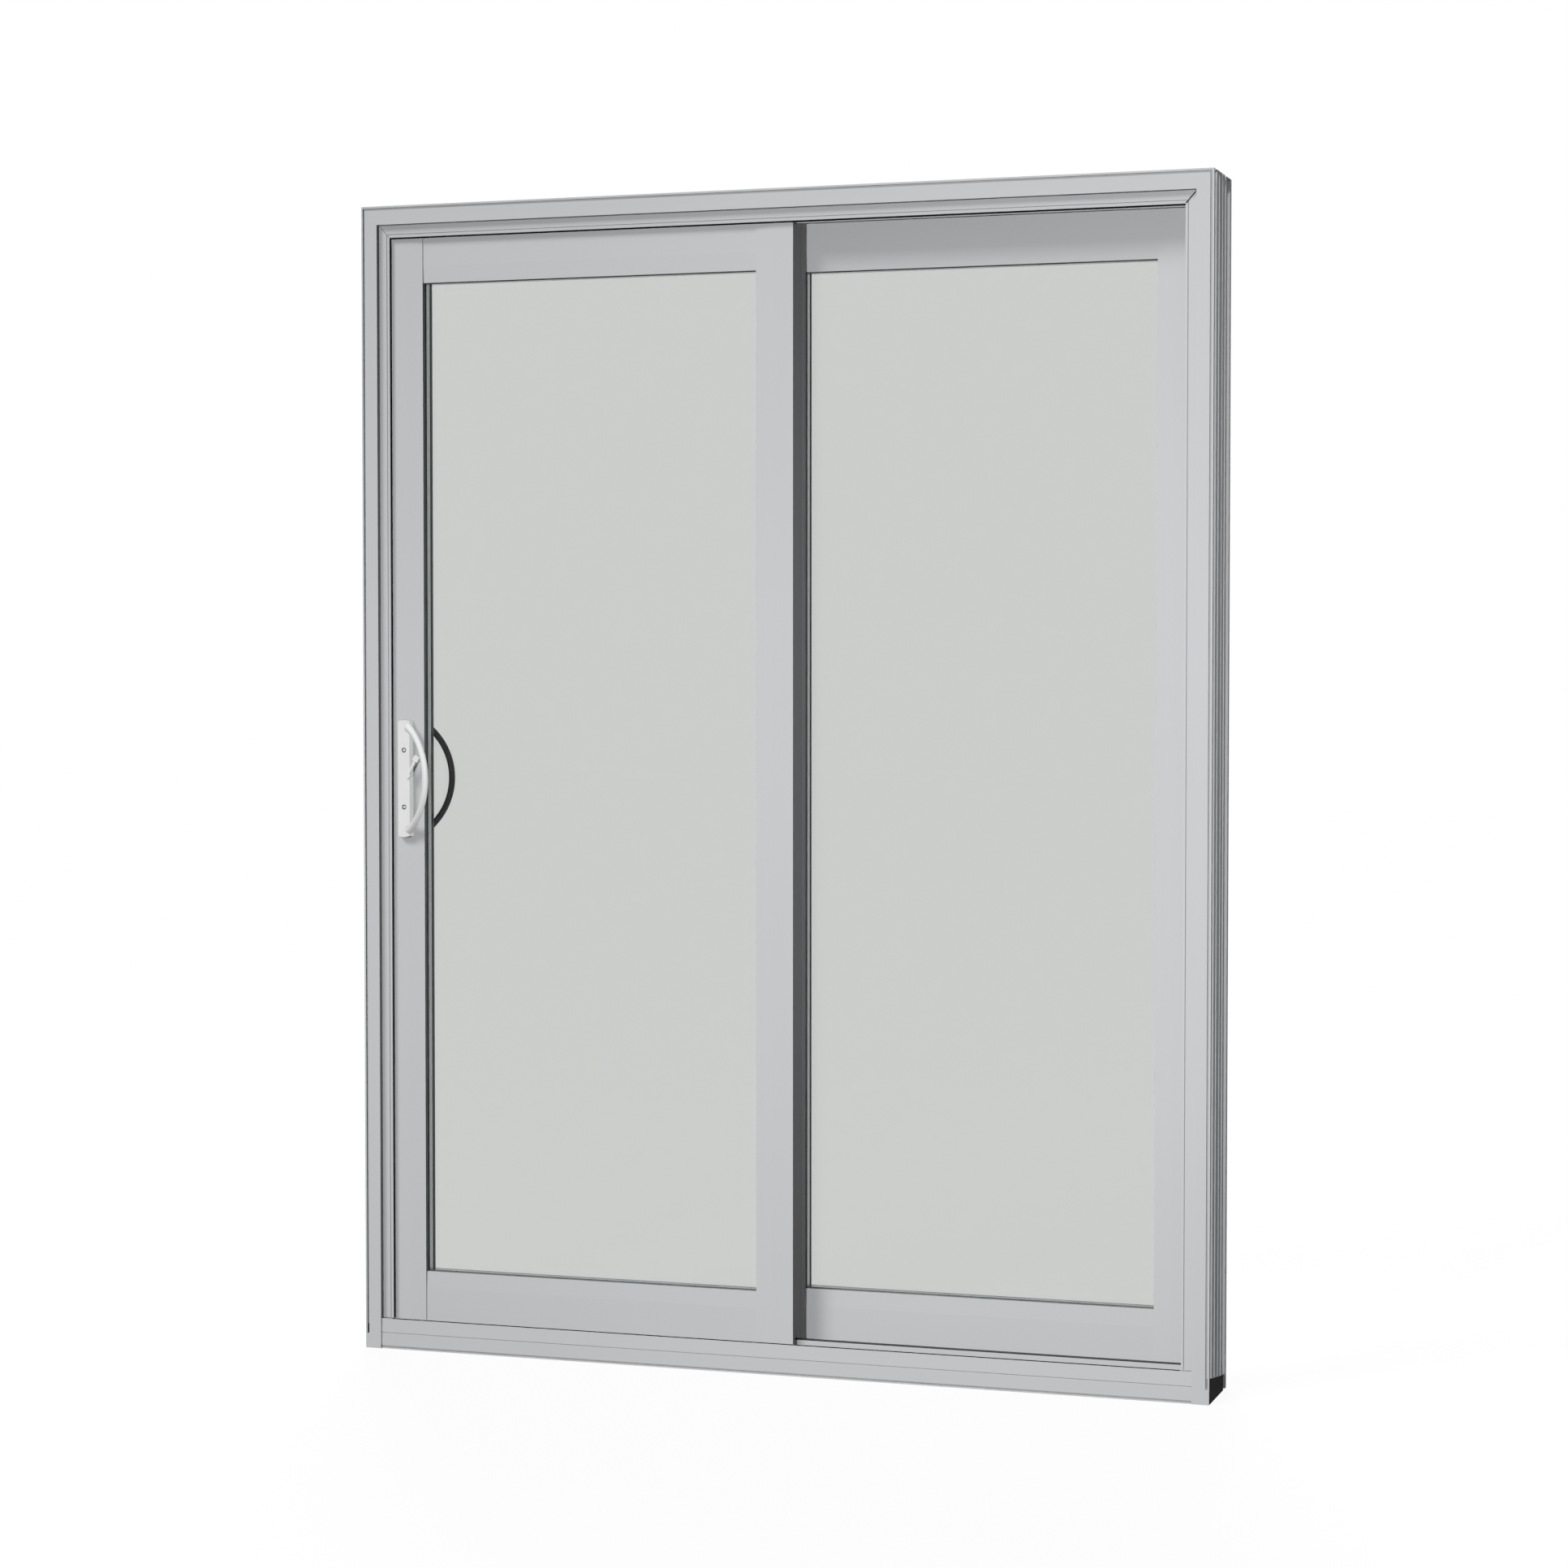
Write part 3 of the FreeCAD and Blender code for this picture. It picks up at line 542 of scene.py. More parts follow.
class Bench:
    """Modelling steps shared by the pieces that are added to the solids."""

    @staticmethod
    def clear() -> None:
        """Leave nothing selected."""
        if bpy.context.object and bpy.context.object.mode != "OBJECT":
            bpy.ops.object.mode_set(mode="OBJECT")
        bpy.ops.object.select_all(action="DESELECT")

    @staticmethod
    def take(piece: Piece) -> None:
        """Leave only one piece selected and active.

        Args:
            piece: That piece.
        """
        Bench.clear()
        piece.select_set(True)
        bpy.context.view_layer.objects.active = piece

    @staticmethod
    def settle(name: str) -> Piece:
        """Name the new primitive and put its place into its mesh.

        Args:
            name: Name of the piece.

        Returns:
            The piece, at the origin.
        """
        piece = bpy.context.active_object
        piece.name = name
        piece.data.name = name
        bpy.ops.object.transform_apply(location=True, rotation=True, scale=True)
        return piece

    @staticmethod
    def pick_faces(piece: Piece, test: Callable[[Vector, Vector], bool]) -> None:
        """Enter edit mode with some faces selected.

        Args:
            piece: The active piece.
            test: Tells from a face's centre and normal whether it is wanted.
        """
        bpy.ops.object.mode_set(mode="EDIT")
        bpy.ops.mesh.select_mode(type="FACE")
        bpy.ops.mesh.select_all(action="DESELECT")
        bpy.ops.object.mode_set(mode="OBJECT")
        for face in piece.data.polygons:
            face.select = test(face.center, face.normal)
        bpy.ops.object.mode_set(mode="EDIT")

    @staticmethod
    def pick_edges(piece: Piece, test: Callable[[Vector, Vector], bool]) -> None:
        """Enter edit mode with some edges selected.

        Args:
            piece: The active piece.
            test: Tells from an edge's two ends whether it is wanted.
        """
        bpy.ops.object.mode_set(mode="EDIT")
        bpy.ops.mesh.select_mode(type="EDGE")
        bpy.ops.mesh.select_all(action="DESELECT")
        bpy.ops.object.mode_set(mode="OBJECT")
        spots = piece.data.vertices
        for edge in piece.data.edges:
            first, second = (spots[index].co for index in edge.vertices)
            edge.select = test(first, second)
        bpy.ops.object.mode_set(mode="EDIT")

    @staticmethod
    def done(piece: Piece) -> Piece:
        """Close the mesh work: faces outwards, soft shading over shallow edges.

        Args:
            piece: The active piece.

        Returns:
            The same piece.
        """
        bpy.ops.object.mode_set(mode="EDIT")
        bpy.ops.mesh.select_all(action="SELECT")
        bpy.ops.mesh.remove_doubles(threshold=0.5 * HAIR)
        bpy.ops.mesh.normals_make_consistent(inside=False)
        bpy.ops.object.mode_set(mode="OBJECT")
        bpy.ops.object.shade_smooth_by_angle(angle=SMOOTH_UNDER)
        return piece

    @staticmethod
    def apply(piece: Piece, kind: str, **settings: object) -> None:
        """Add a modifier and apply it.

        Args:
            piece: The piece to change.
            kind: The modifier's type.
            settings: Its settings by name.
        """
        Bench.take(piece)
        modifier = piece.modifiers.new(kind.lower(), kind)
        for key, value in settings.items():
            setattr(modifier, key, value)
        bpy.ops.object.modifier_apply(modifier=modifier.name)


def hand_over(piece: Piece, body: Body, material: bpy.types.Material) -> None:
    """Dress a finished piece and let it ride on its body.

    Args:
        piece: The finished piece.
        body: The body it moves with.
        material: The finish itself.
    """
    piece.data.materials.clear()
    piece.data.materials.append(material)
    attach(piece, body.value)
    LOG.info("%s rides on %s", piece.name, body.value)


@dataclass
class SillShadeSeal:
    """Soft black strip on the sill's room-side leg, with a fin towards the sliding panel: partly a seal,
    partly painted shade on the top of the leg.
    """

    leg_top: float = 53.3 * MM
    front_inset: float = 2.8 * MM
    width: float = 4.0 * MM
    height: float = 0.4 * MM
    fin_height: float = 0.4 * MM
    fin_inset: float = 1.0 * MM
    fin_ledge: float = 0.25 * MM
    fin_taper: float = 0.25
    end_gap: float = 0.4 * MM
    edge_round: float = 0.1 * MM

    def build(self, finishes: Finishes) -> Piece:
        """Model the strip between the two jamb legs.

        Args:
            finishes: The finishes to choose from.

        Returns:
            The strip.
        """
        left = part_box("left_jamb")[1].x + self.end_gap
        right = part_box("right_jamb")[0].x - self.end_gap
        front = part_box("left_jamb")[0].y + self.front_inset
        Bench.clear()
        bpy.ops.mesh.primitive_cube_add(
            size=1.0,
            location=((left + right) / 2, front + self.width / 2, self.leg_top + self.height / 2),
            scale=(right - left, self.width, self.height),
        )
        strip = Bench.settle("sill_seal_shade_strip")
        Bench.pick_faces(strip, lambda centre, normal: normal.z > SQUARE_ON)
        bpy.ops.mesh.inset(thickness=self.fin_ledge, depth=0.0)
        bpy.ops.mesh.extrude_region_move(TRANSFORM_OT_translate={"value": (0, 0, self.fin_height)})
        bpy.ops.transform.resize(value=(1.0, self.fin_taper, 1.0))
        bpy.ops.transform.translate(value=(0, self.fin_inset, 0))
        Bench.done(strip)
        Bench.apply(strip, "BEVEL", width=self.edge_round, segments=EDGE_STEPS)
        Bench.done(strip)
        hand_over(strip, Body.FRAME, finishes.rubber)
        return strip


@dataclass
class PileShadeStrip:
    """Black brush seal behind the frame's room-side leg, just short of the sliding panel: partly a seal,
    partly painted shade in the gap between the leg and the panel.
    """

    name: str
    low: Vector
    high: Vector
    tip_round: float = 0.9 * MM
    tip_steps: int = 3

    def build(self, finishes: Finishes) -> Piece:
        """Model the strip with its panel-side edges rounded.

        Args:
            finishes: The finishes to choose from.

        Returns:
            The strip.
        """
        Bench.clear()
        bpy.ops.mesh.primitive_cube_add(
            size=1.0, location=(self.low + self.high) / 2, scale=self.high - self.low)
        strip = Bench.settle(self.name)
        tip = self.high.y
        along = max(Run, key=lambda run: (self.high - self.low)[run.value])

        def is_long_tip(first: Vector, second: Vector) -> bool:
            """Tell the long edges on the side of the panel."""
            long = abs(first[along.value] - second[along.value]) > HAIR
            return long and min(first.y, second.y) > tip - HAIR

        Bench.pick_edges(strip, is_long_tip)
        bpy.ops.mesh.bevel(offset=self.tip_round, segments=self.tip_steps, affect="EDGES")
        Bench.done(strip)
        hand_over(strip, Body.FRAME, finishes.rubber)
        return strip


def pile_shade_strips() -> list[PileShadeStrip]:
    """List the black brush seals along the lock jamb and the head, partly painted shade.

    Returns:
        The two strips.
    """
    leg_depth = 13.5 * MM
    clearance = 0.3 * MM
    width = 3.0 * MM
    showing = 0.5 * MM
    sill_leg = 54.6 * MM
    leg_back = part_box("left_jamb")[0].y + leg_depth
    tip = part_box("lock_stile")[0].y - clearance
    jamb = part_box("left_jamb")[1].x
    far_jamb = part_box("right_jamb")[0].x
    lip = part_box("head")[0].z
    upright = PileShadeStrip(
        "jamb_pile_shade_strip",
        Vector((jamb - width, leg_back + HAIR, sill_leg)),
        Vector((jamb + showing / 2, tip, lip - showing)))
    level = PileShadeStrip(
        "head_pile_shade_strip",
        Vector((jamb, leg_back + HAIR, lip - showing)),
        Vector((far_jamb, tip, lip + width)))
    return [upright, level]


@dataclass
class MitreShadeBead:
    """Painted shade: a thin black strip on the recessed band along the mitred joint of the head and a
    jamb, for the shaded wall of the joint.
    """

    name: str
    side: float
    width: float
    inner_reach: float = 48.4 * MM
    outer_reach: float = 30.6 * MM
    fall: float = 1.11
    band_depth: float = 9.38 * MM
    thickness: float = 0.5 * MM
    edge_round: float = 0.12 * MM

    def build(self, finishes: Finishes) -> Piece:
        """Model the painted shade strip along the slope of the joint.

        Args:
            finishes: The finishes to choose from.

        Returns:
            The painted shade strip.
        """
        low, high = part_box("head")
        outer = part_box("right_jamb")[1].x if self.side > 0 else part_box("left_jamb")[0].x
        reach = (self.inner_reach + self.outer_reach) / 2
        run = self.inner_reach - self.outer_reach
        Bench.clear()
        bpy.ops.mesh.primitive_cube_add(
            size=1.0,
            location=(
                outer - self.side * reach,
                low.y + self.band_depth - self.thickness / 2,
                high.z - self.fall * reach),
            rotation=(0, -self.side * math.atan(self.fall), 0),
            scale=(run * math.hypot(1.0, self.fall), self.thickness, self.width),
        )
        shade_bead = Bench.settle(self.name)
        Bench.done(shade_bead)
        Bench.apply(shade_bead, "BEVEL", width=self.edge_round, segments=EDGE_STEPS)
        hand_over(shade_bead, Body.FRAME, finishes.rubber)
        return shade_bead


def mitre_shade_beads() -> list[MitreShadeBead]:
    """List the painted shade strips of the two upper corners, of which the right one, in deeper shade, is
    the wider.
    """
    left = MitreShadeBead("left_mitre_shade_bead", side=-1.0, width=0.4 * MM)
    return [left, MitreShadeBead("right_mitre_shade_bead", side=1.0, width=1.6 * MM)]


@dataclass
class GlazingGasket:
    """Wedge of rubber around a glass unit, between the glass and the sight edge, whose grey also paints
    the shade on the glazing lip's top.
    """

    name: str
    body: Body
    side: Side
    left: str
    right: str
    bottom: str
    top: str
    pane: str
    rise: float = 0.9 * MM
    front_rise: float = 0.4 * MM
    depth: float = 5.0 * MM
    edge_round: float = 0.12 * MM

    def build(self, finishes: Finishes) -> Piece:
        """Model the ring of gasket for one face of the glass.

        Args:
            finishes: The finishes to choose from.

        Returns:
            The ring.
        """
        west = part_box(self.left)[1].x + HAIR
        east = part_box(self.right)[0].x - HAIR
        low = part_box(self.bottom)[1].z + HAIR
        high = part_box(self.top)[0].z - HAIR
        pane_low, pane_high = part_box(self.pane)
        face = (pane_low.y if self.side is Side.ROOM else pane_high.y) + self.side.value * HAIR
        width = east - west
        height = high - low
        Bench.clear()
        bpy.ops.mesh.primitive_plane_add(
            size=1.0,
            location=((west + east) / 2, face, (low + high) / 2),
            rotation=(math.pi / 2, 0, 0),
        )
        bpy.context.active_object.scale = (width, height, 1.0)
        ring = Bench.settle(self.name)
        Bench.pick_faces(ring, lambda centre, normal: True)
        bpy.ops.mesh.inset(thickness=self.rise, depth=0.0)
        bpy.ops.mesh.delete(type="FACE")
        Bench.pick_faces(ring, lambda centre, normal: True)
        bpy.ops.mesh.extrude_region_move(
            TRANSFORM_OT_translate={"value": (0, self.side.value * self.depth, 0)})
        middle = Vector(((west + east) / 2, 0, (low + high) / 2))
        far = face + self.side.value * self.depth / 2

        def is_inner_front(spot: Vector) -> bool:
            """Tell the inner loop of the side away from the glass.

            Args:
                spot: A corner of the ring.

            Returns:
                Whether the corner is on that loop.
            """
            inside = abs(spot.x - middle.x) < width / 2 - self.rise / 2
            within = abs(spot.z - middle.z) < height / 2 - self.rise / 2
            return inside and within and (spot.y - far) * self.side.value > 0

        Bench.pick_edges(ring, lambda first, second: is_inner_front(first) and is_inner_front(second))
        bpy.ops.transform.resize(value=(
            (width - 2 * self.front_rise) / (width - 2 * self.rise),
            1.0,
            (height - 2 * self.front_rise) / (height - 2 * self.rise),
        ))
        Bench.done(ring)
        Bench.apply(ring, "BEVEL", width=self.edge_round, segments=EDGE_STEPS)
        hand_over(ring, self.body, finishes.wedge_rubber_shade)
        return ring


def glazing_gaskets() -> list[GlazingGasket]:
    """List the gasket rings on both faces of both glass units.

    Returns:
        The four rings.
    """
    rings = []
    for side, pane in ((Side.ROOM, "inner"), (Side.WEATHER, "outer")):
        rings.append(GlazingGasket(
            f"sliding_{pane}_gasket", Body.PANEL, side, "lock_stile", "meeting_stile",
            "sliding_bottom_rail", "sliding_top_rail", f"sliding_{pane}_pane"))
        rings.append(GlazingGasket(
            f"fixed_{pane}_gasket", Body.FRAME, side, "interlock_stile", "fixed_jamb_stile",
            "fixed_bottom_rail", "fixed_top_rail", f"fixed_{pane}_pane"))
    return rings


@dataclass
class PullFlare:
    """Trumpet-shaped root of a bowed pull, where it grows out of its plate."""

    name: str
    handle: str
    side: Side
    end: float
    slot: Slot
    half_length: float
    reach: float = 58.0 * MM
    swing: float = math.radians(32.3)
    centre_inset: float = 40.5 * MM
    plate_depth: float = 12.0 * MM
    tip_radius: float = 5.54 * MM
    root_radius: float = 8.0 * MM
    root_turn: float = math.radians(60.0)
    tip_turn: float = math.radians(42.0)
    ring_count: int = 10
    ring_sides: int = 32

    def build(self, finishes: Finishes) -> Piece:
        """Model the flare as a row of rings along the bow, bridged and closed.

        Args:
            finishes: The finishes to choose from.

        Returns:
            The flare.
        """
        Bench.clear()
        rings = [self.model_ring(step / (self.ring_count - 1)) for step in range(self.ring_count)]
        Bench.clear()
        for ring in rings:
            ring.select_set(True)
        bpy.context.view_layer.objects.active = rings[0]
        bpy.ops.object.join()
        flare = Bench.settle(self.name)
        bpy.ops.object.mode_set(mode="EDIT")
        bpy.ops.mesh.select_all(action="SELECT")
        bpy.ops.mesh.bridge_edge_loops()
        bpy.ops.mesh.select_all(action="SELECT")
        bpy.ops.mesh.fill_holes(sides=0)
        bpy.ops.object.mode_set(mode="OBJECT")
        Bench.done(flare)
        hand_over(flare, Body.PANEL, finishes.pick(self.slot, Run.UPRIGHT))
        return flare

    def model_ring(self, share: float) -> Piece:
        """Add one ring of the flare.

        Args:
            share: Its place on the way, 0 at the plate and 1 at the tip.

        Returns:
            The ring.
        """
        stile_low, stile_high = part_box("lock_stile")
        handle_low, handle_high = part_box(self.handle)
        seat = stile_low.y if self.side is Side.ROOM else stile_high.y
        root = Vector((
            stile_low.x + self.centre_inset,
            seat + self.side.value * self.plate_depth / 2,
            (handle_low.z + handle_high.z) / 2))
        bow_radius = (self.half_length ** 2 + self.reach ** 2) / (2 * self.reach)
        out = Vector((math.cos(self.swing), self.side.value * math.sin(self.swing), 0))
        up = Vector((0, 0, self.end))
        middle = root - out * (bow_radius - self.reach)
        turn = self.root_turn + (self.tip_turn - self.root_turn) * share
        way = up * math.cos(turn) - out * math.sin(turn)
        bpy.ops.mesh.primitive_circle_add(
            vertices=self.ring_sides,
            radius=self.tip_radius + (self.root_radius - self.tip_radius) * (1 - share) ** 2,
            location=middle + (out * math.cos(turn) + up * math.sin(turn)) * bow_radius,
            rotation=way.to_track_quat("Z", "Y").to_euler())
        return bpy.context.active_object


def pull_flares() -> list[PullFlare]:
    """List the flares at both ends of both pulls.

    Returns:
        The four flares.
    """
    room_half = 93.5 * MM
    weather_half = 102.0 * MM
    flares = []
    for place, end in (("upper", 1.0), ("lower", -1.0)):
        flares.append(PullFlare(
            f"{place}_room_pull_flare", "interior_handle", Side.ROOM, end,
            Slot.WHITE_ENAMEL, room_half))
        flares.append(PullFlare(
            f"{place}_weather_pull_flare", "exterior_handle", Side.WEATHER, end,
            Slot.BLACK_ENAMEL, weather_half))
    return flares


@dataclass
class HandleScrews:
    """The two painted screws that clamp the room-side handle plate, each on a black rubber washer whose
    rim round the head paints the shade in the plate's bore.
    """

    shade_washer_radius: float = 4.2 * MM
    shade_washer_height: float = 0.4 * MM
    shade_washer_round: float = 0.1 * MM
    head_radius: float = 2.6 * MM
    head_height: float = 1.4 * MM
    rim_round: float = 0.6 * MM
    rim_steps: int = 4
    dish_inset: float = 0.7 * MM
    dish_depth: float = 0.4 * MM
    cross_length: float = 3.2 * MM
    cross_width: float = 0.8 * MM
    cross_depth: float = 0.8 * MM
    spacing: float = 100.7 * MM
    seat_depth: float = 9.8 * MM
    centre_inset: float = 37.5 * MM
    sides: int = 40

    def build(self, finishes: Finishes) -> list[Piece]:
        """Model one screw on its washer and copy both to the second place.

        Args:
            finishes: The finishes to choose from.

        Returns:
            The screw heads and their washers.
        """
        stile_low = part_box("lock_stile")[0]
        handle_low, handle_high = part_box("interior_handle")
        middle = (handle_low.z + handle_high.z) / 2
        seat = Vector((
            stile_low.x + self.centre_inset,
            stile_low.y - self.seat_depth - HAIR,
            middle + self.spacing / 2))
        shade_washer = self.model_shade_washer(seat)
        head = self.model_head(seat - Vector((0, self.shade_washer_height + HAIR, 0)))
        heads = [head, self.repeat(head, "lower_handle_screw")]
        shade_washers = [shade_washer, self.repeat(shade_washer, "lower_screw_shade_washer")]
        for piece in heads:
            hand_over(piece, Body.PANEL, finishes.white_enamel)
        for piece in shade_washers:
            hand_over(piece, Body.PANEL, finishes.rubber)
        return heads + shade_washers

    def repeat(self, piece: Piece, name: str) -> Piece:
        """Copy a piece to the lower screw's place.

        Args:
            piece: The piece at the upper screw.
            name: Name of the copy.

        Returns:
            The copy.
        """
        twin = piece.copy()
        twin.data = piece.data.copy()
        twin.name = name
        twin.data.name = name
        bpy.context.scene.collection.objects.link(twin)
        Bench.take(twin)
        bpy.ops.transform.translate(value=(0, 0, -self.spacing))
        bpy.ops.object.transform_apply(location=True, rotation=True, scale=True)
        return twin

    def model_shade_washer(self, seat: Vector) -> Piece:
        """Model the black washer that lies in the plate's bore, whose rim paints the shade around the
        head.

        Args:
            seat: Middle of the washer's underside.

        Returns:
            The washer.
        """
        Bench.clear()
        bpy.ops.mesh.primitive_cylinder_add(
            vertices=self.sides, radius=self.shade_washer_radius, depth=self.shade_washer_height,
            location=(seat.x, seat.y - self.shade_washer_height / 2, seat.z),
            rotation=(math.pi / 2, 0, 0))
        shade_washer = Bench.settle("upper_screw_shade_washer")
        Bench.done(shade_washer)
        Bench.apply(shade_washer, "BEVEL", width=self.shade_washer_round, segments=EDGE_STEPS)
        return shade_washer

    def model_head(self, seat: Vector) -> Piece:
        """Model a pan head with a dished top and a cross recess.

        Args:
            seat: Middle of the head's underside.

        Returns:
            The head.
        """
        Bench.clear()
        bpy.ops.mesh.primitive_cylinder_add(
            vertices=self.sides, radius=self.head_radius, depth=self.head_height,
            location=(seat.x, seat.y - self.head_height / 2, seat.z),
            rotation=(math.pi / 2, 0, 0))
        head = Bench.settle("upper_handle_screw")
        front = seat.y - self.head_height

        def is_rim(first: Vector, second: Vector) -> bool:
            """Tell the edges of the room-side rim."""
            return abs(first.y - front) < HAIR and abs(second.y - front) < HAIR

        Bench.pick_edges(head, is_rim)
        bpy.ops.mesh.bevel(offset=self.rim_round, segments=self.rim_steps, affect="EDGES")
        Bench.pick_faces(head, lambda centre, normal: normal.y < -SQUARE_ON)
        bpy.ops.mesh.inset(thickness=self.dish_inset, depth=-self.dish_depth)
        Bench.done(head)
        recess = self.model_recess(Vector((seat.x, front + self.dish_depth, seat.z)))
        Bench.apply(head, "BOOLEAN", object=recess, operation="DIFFERENCE", solver="EXACT")
        bpy.data.objects.remove(recess)
        return Bench.done(head)

    def model_recess(self, centre: Vector) -> Piece:
        """Model the cross that is cut out of a screw head.

        Args:
            centre: Middle of the cross at the bottom of the dish.

        Returns:
            The cutter.
        """
        Bench.clear()
        half = self.cross_width / 2
        reach = (self.cross_length - self.cross_width) / 2
        bpy.ops.mesh.primitive_cube_add(
            size=1.0, location=centre, scale=(self.cross_width, 2 * self.cross_depth, self.cross_width))
        cutter = Bench.settle("screw_recess_cutter")
        for axis, sign in ((0, 1), (0, -1), (2, 1), (2, -1)):
            offset = [0.0, 0.0, 0.0]
            offset[axis] = sign * reach
            Bench.pick_faces(
                cutter,
                lambda spot, normal: normal[axis] * sign > SQUARE_ON
                and abs((spot - centre)[axis] * sign - half) < HAIR)
            bpy.ops.mesh.extrude_region_move(TRANSFORM_OT_translate={"value": offset})
        return Bench.done(cutter)


@dataclass(frozen=True)
class Spot:
    """A lamp with a soft cone.

    Its fields are its name, its place, the point it is aimed at, the full cone in degrees, its power in
    watts, whether it throws shadows and the radius of its glowing face.
    """

    name: str
    place: tuple[float, float, float]
    target: tuple[float, float, float]
    cone: float
    power: float
    shadow: bool = True
    radius: float = 0.1

    def hang(self) -> Piece:
        """Add the lamp to the scene.

        Returns:
            The lamp.
        """
        beam = bpy.data.lights.new(self.name, "SPOT")
        beam.energy = self.power
        beam.spot_size = math.radians(self.cone)
        beam.spot_blend = 1.0
        beam.shadow_soft_size = self.radius
        beam.use_shadow = self.shadow
        lamp = bpy.data.objects.new(self.name, beam)
        lamp.location = self.place
        way = Vector(self.target) - Vector(self.place)
        lamp.rotation_euler = way.to_track_quat("-Z", "Y").to_euler()
        bpy.context.scene.collection.objects.link(lamp)
        return lamp


@dataclass
class Studio:
    """Camera at the picture's angle, three suns, two spots, a pale floor and a white surround."""

    frame_pixels: float = 1932.0
    focal_pixels: float = 4166.66
    sensor: float = 36.0
    camera_place: tuple[float, float, float] = (1.81885, -5.52316, 1.21369)
    camera_yaw: float = 18.2246
    camera_pitch: float = -2.0135
    key_way: tuple[float, float, float] = (0.68, 1.0, -1.1)
    key_strength: float = 1.5
    key_spread: float = 22.0
    handle_way: tuple[float, float, float] = (-1.0, 0.12, -0.1)
    handle_strength: float = 1.45
    handle_spread: float = 20.0
    handle_pieces: tuple[str, ...] = (
        "interior_handle", "thumb_latch", "upper_handle_screw", "lower_handle_screw",
        "upper_room_pull_flare", "lower_room_pull_flare")
    back_way: tuple[float, float, float] = (0.35, -1.0, -0.5)
    back_strength: float = 2.9
    back_spread: float = 30.0
    fill_spot: Spot = Spot("fill_spot", (-0.6, -5.5, 1.3), (-0.3, 0.0, 1.0), 90.0, 505.0)
    right_spot: Spot = Spot("right_spot", (2.8, -3.2, 1.9), (0.9, 0.0, 1.1), 50.0, 162.0, shadow=False)
    diffuse_bounces: int = 0
    ambient: Colour = (0.03, 0.03, 0.0297, 1.0)
    surround: Colour = (1.0, 1.0, 1.0, 1.0)
    floor_reach: float = 30.0
    floor_colour: Colour = (0.8, 0.8, 0.8, 1.0)
    floor_roughness: float = 0.9
    floor_glow: float = 1.044
    glow_share: float = 0.9
    unbounced_below: float = 0.5

    def build(self) -> None:
        """Set up everything around the door."""
        self.place_camera()
        key = self.hang_sun("key_sun", self.key_way, self.key_strength, self.key_spread)
        fill = self.fill_spot.hang()
        right = self.right_spot.hang()
        handle = self.hang_sun("handle_sun", self.handle_way, self.handle_strength, self.handle_spread)
        self.let_past(key, ("_pane",))
        self.let_past(fill, ("_pane", "right_jamb", "interior_handle", "_room_pull_flare"))
        self.shine_on(handle, self.handle_pieces)
        handle.data.use_shadow = False
        back = self.hang_sun("back_sun", self.back_way, self.back_strength, self.back_spread)
        for lamp in (fill, right, handle, back):
            lamp.visible_glossy = False
            lamp.visible_transmission = False
        self.light_world()
        self.lay_floor()
        bpy.context.scene.view_settings.view_transform = "Standard"
        bpy.context.scene.cycles.diffuse_bounces = self.diffuse_bounces

    def let_past(self, lamp: Piece, endings: tuple[str, ...]) -> None:
        """Keep some pieces from throwing shadows for a lamp.

        Args:
            lamp: The lamp.
            endings: How the names of those pieces end.
        """
        blockers = bpy.data.collections.new(f"{lamp.name}_blockers")
        for piece in bpy.context.scene.objects:
            if piece.type == "MESH" and not piece.name.endswith(endings):
                blockers.objects.link(piece)
        lamp.light_linking.blocker_collection = blockers

    def shine_on(self, lamp: Piece, names: Iterable[str]) -> None:
        """Let a lamp light only some pieces.

        Args:
            lamp: The lamp.
            names: Names of the pieces.
        """
        receivers = bpy.data.collections.new(f"{lamp.name}_pieces")
        for name in names:
            receivers.objects.link(bpy.data.objects[name])
        lamp.light_linking.receiver_collection = receivers

    def place_camera(self) -> None:
        """Put the camera where the picture was taken from."""
        camera = bpy.data.cameras.new("camera")
        camera.sensor_width = self.sensor
        camera.lens = self.focal_pixels * self.sensor / self.frame_pixels
        eye = bpy.data.objects.new("camera", camera)
        eye.location = self.camera_place
        eye.rotation_euler = (math.radians(90.0 + self.camera_pitch), 0.0, math.radians(self.camera_yaw))
        bpy.context.scene.collection.objects.link(eye)
        bpy.context.scene.camera = eye

    def hang_sun(self, name: str, way: Iterable[float], strength: float, spread: float) -> Piece:
        """Add a distant lamp.

        Args:
            name: Name of the lamp.
            way: Direction in which its light travels.
            strength: Light on a face square to it.
            spread: Apparent width in degrees, which softens its shadows.

        Returns:
            The lamp.
        """
        sun = bpy.data.lights.new(name, "SUN")
        sun.energy = strength
        sun.angle = math.radians(spread)
        lamp = bpy.data.objects.new(name, sun)
        lamp.rotation_euler = Vector(way).to_track_quat("-Z", "Y").to_euler()
        bpy.context.scene.collection.objects.link(lamp)
        return lamp

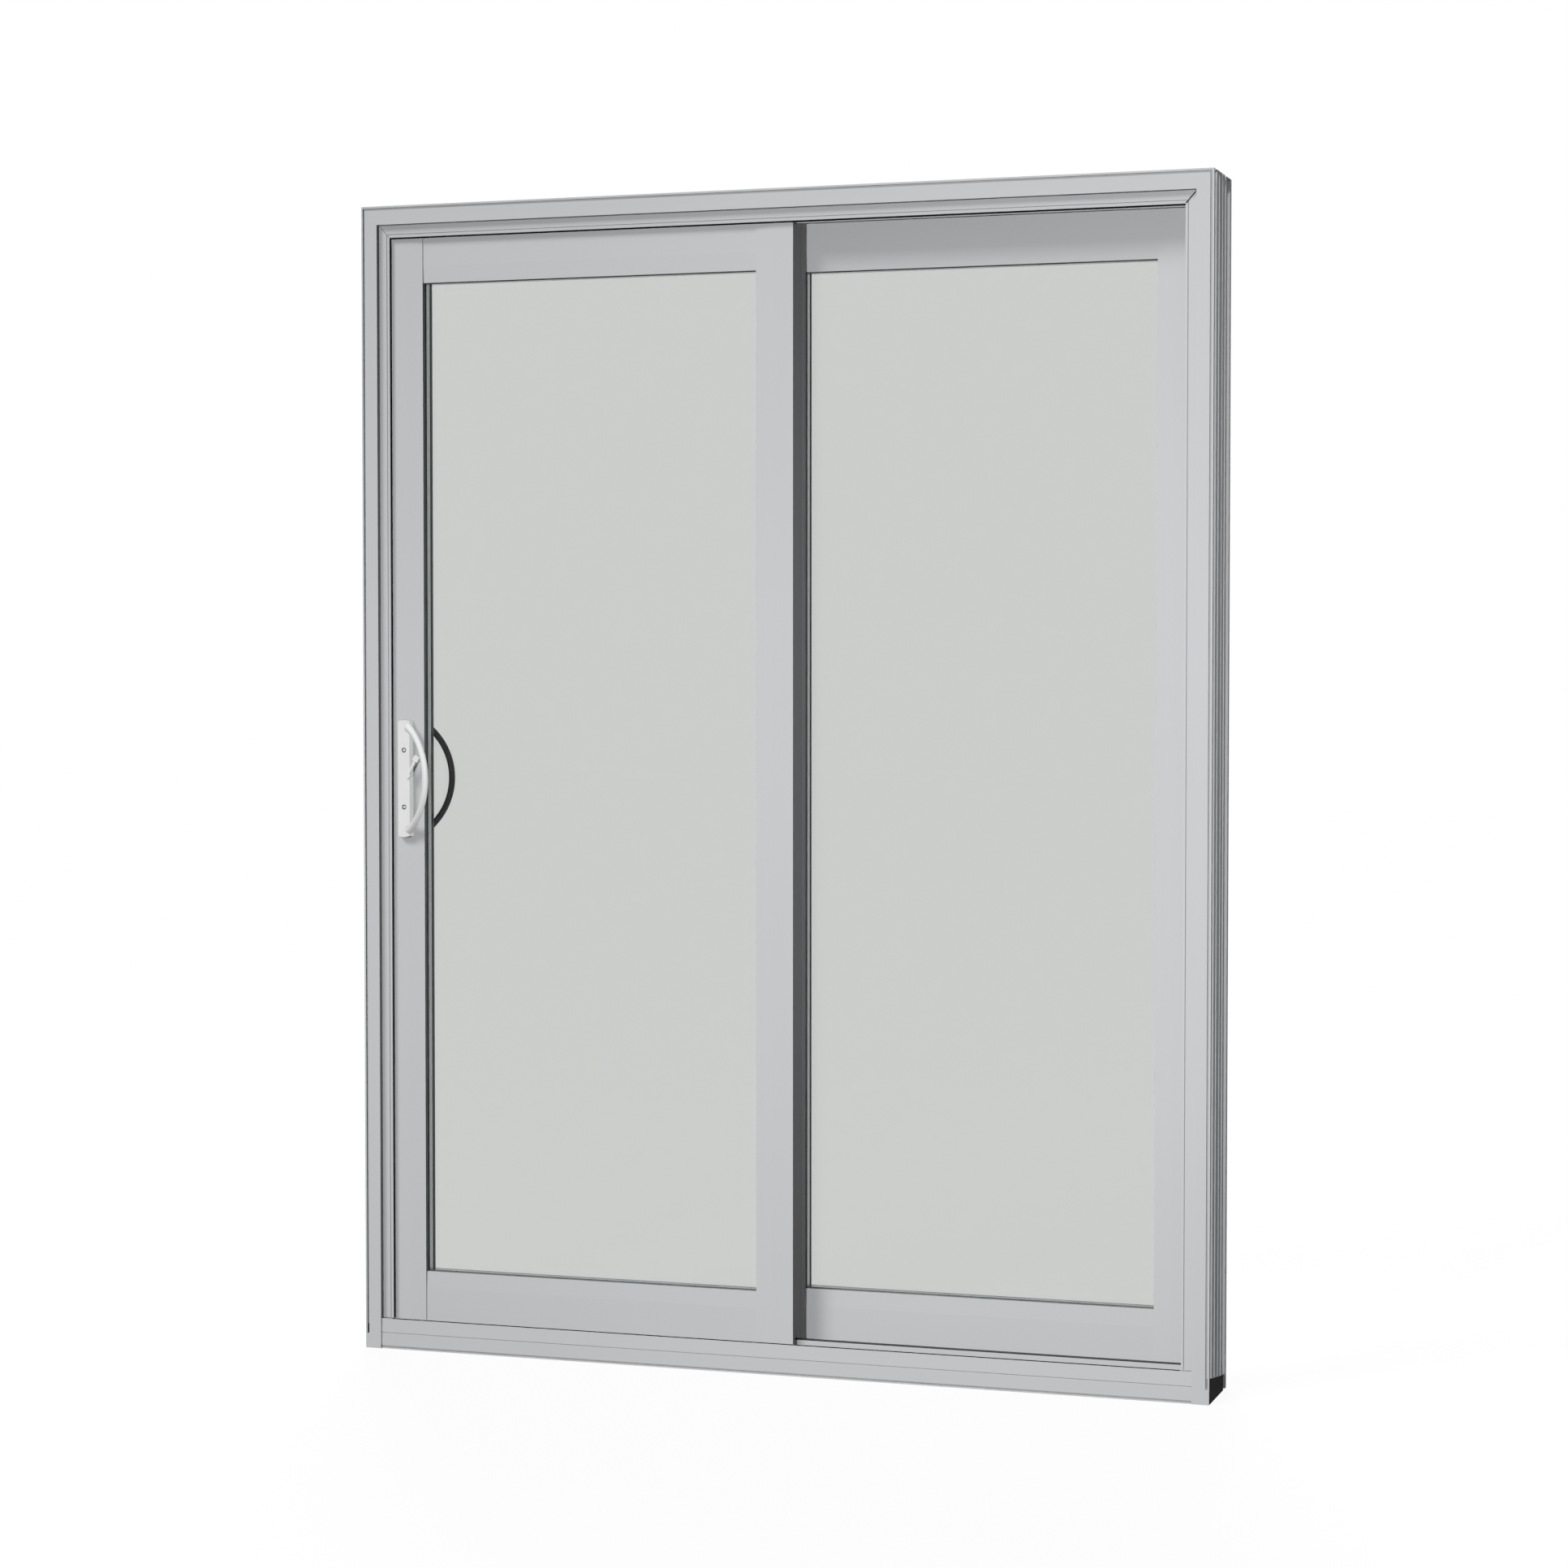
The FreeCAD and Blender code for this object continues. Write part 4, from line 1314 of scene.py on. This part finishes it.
    def seen_directly(self, tree: bpy.types.NodeTree) -> Socket:
        """Give 1 for rays that show the surround in sight, in gloss or through glass, unbounced.

        Args:
            tree: The node tree of the world or of the floor.

        Returns:
            The test's value.
        """
        path = tree.nodes.new("ShaderNodeLightPath")
        total = path.outputs["Is Camera Ray"]
        for ray in ("Is Glossy Ray", "Is Transmission Ray"):
            larger = tree.nodes.new("ShaderNodeMath")
            larger.operation = "MAXIMUM"
            tree.links.new(total, larger.inputs[0])
            tree.links.new(path.outputs[ray], larger.inputs[1])
            total = larger.outputs["Value"]
        unbounced = tree.nodes.new("ShaderNodeMath")
        unbounced.operation = "LESS_THAN"
        unbounced.inputs[1].default_value = self.unbounced_below
        tree.links.new(path.outputs["Diffuse Depth"], unbounced.inputs[0])
        both = tree.nodes.new("ShaderNodeMath")
        both.operation = "MULTIPLY"
        tree.links.new(total, both.inputs[0])
        tree.links.new(unbounced.outputs["Value"], both.inputs[1])
        return both.outputs["Value"]

    def light_world(self) -> None:
        """Show white all round, and light the door from it only faintly."""
        world = bpy.data.worlds.new("surround")
        bpy.context.scene.world = world
        world.use_nodes = True
        tree = world.node_tree
        mix = tree.nodes.new("ShaderNodeMix")
        mix.data_type = "RGBA"
        mix.inputs[MIX_FIRST].default_value = self.ambient
        mix.inputs[MIX_SECOND].default_value = self.surround
        tree.links.new(self.seen_directly(tree), mix.inputs["Factor"])
        tree.links.new(mix.outputs[MIX_RESULT], tree.nodes["Background"].inputs["Color"])

    def lay_floor(self) -> None:
        """Lay a pale floor that keeps a faint shadow."""
        Bench.clear()
        bpy.ops.mesh.primitive_plane_add(size=2 * self.floor_reach, location=(0, 0, -HAIR))
        floor = Bench.settle("floor")
        graph = ShaderGraph("pale_floor")
        tree = graph.tree
        graph.put("Base Color", self.floor_colour)
        graph.put("Roughness", self.floor_roughness)
        graph.put("Specular IOR Level", 0.0)
        glow = tree.nodes.new("ShaderNodeEmission")
        glow.inputs["Strength"].default_value = self.floor_glow
        share = tree.nodes.new("ShaderNodeMath")
        share.operation = "MULTIPLY"
        share.inputs[1].default_value = self.glow_share
        tree.links.new(self.seen_directly(tree), share.inputs[0])
        mix = tree.nodes.new("ShaderNodeMixShader")
        tree.links.new(share.outputs["Value"], mix.inputs["Fac"])
        tree.links.new(graph.shader.outputs["BSDF"], mix.inputs[1])
        tree.links.new(glow.outputs["Emission"], mix.inputs[2])
        tree.links.new(mix.outputs["Shader"], tree.nodes["Material Output"].inputs["Surface"])
        floor.data.materials.append(graph.material)


def main() -> None:
    """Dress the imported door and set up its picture."""
    logging.basicConfig(level=logging.INFO, format="%(message)s")
    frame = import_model()
    finishes = Finishes()
    dress_solids(frame, finishes)
    SillShadeSeal().build(finishes)
    for strip in pile_shade_strips():
        strip.build(finishes)
    for shade_bead in mitre_shade_beads():
        shade_bead.build(finishes)
    for gasket in glazing_gaskets():
        gasket.build(finishes)
    for flare in pull_flares():
        flare.build(finishes)
    HandleScrews().build(finishes)
    Studio().build()


if __name__ == "__main__":
    main()
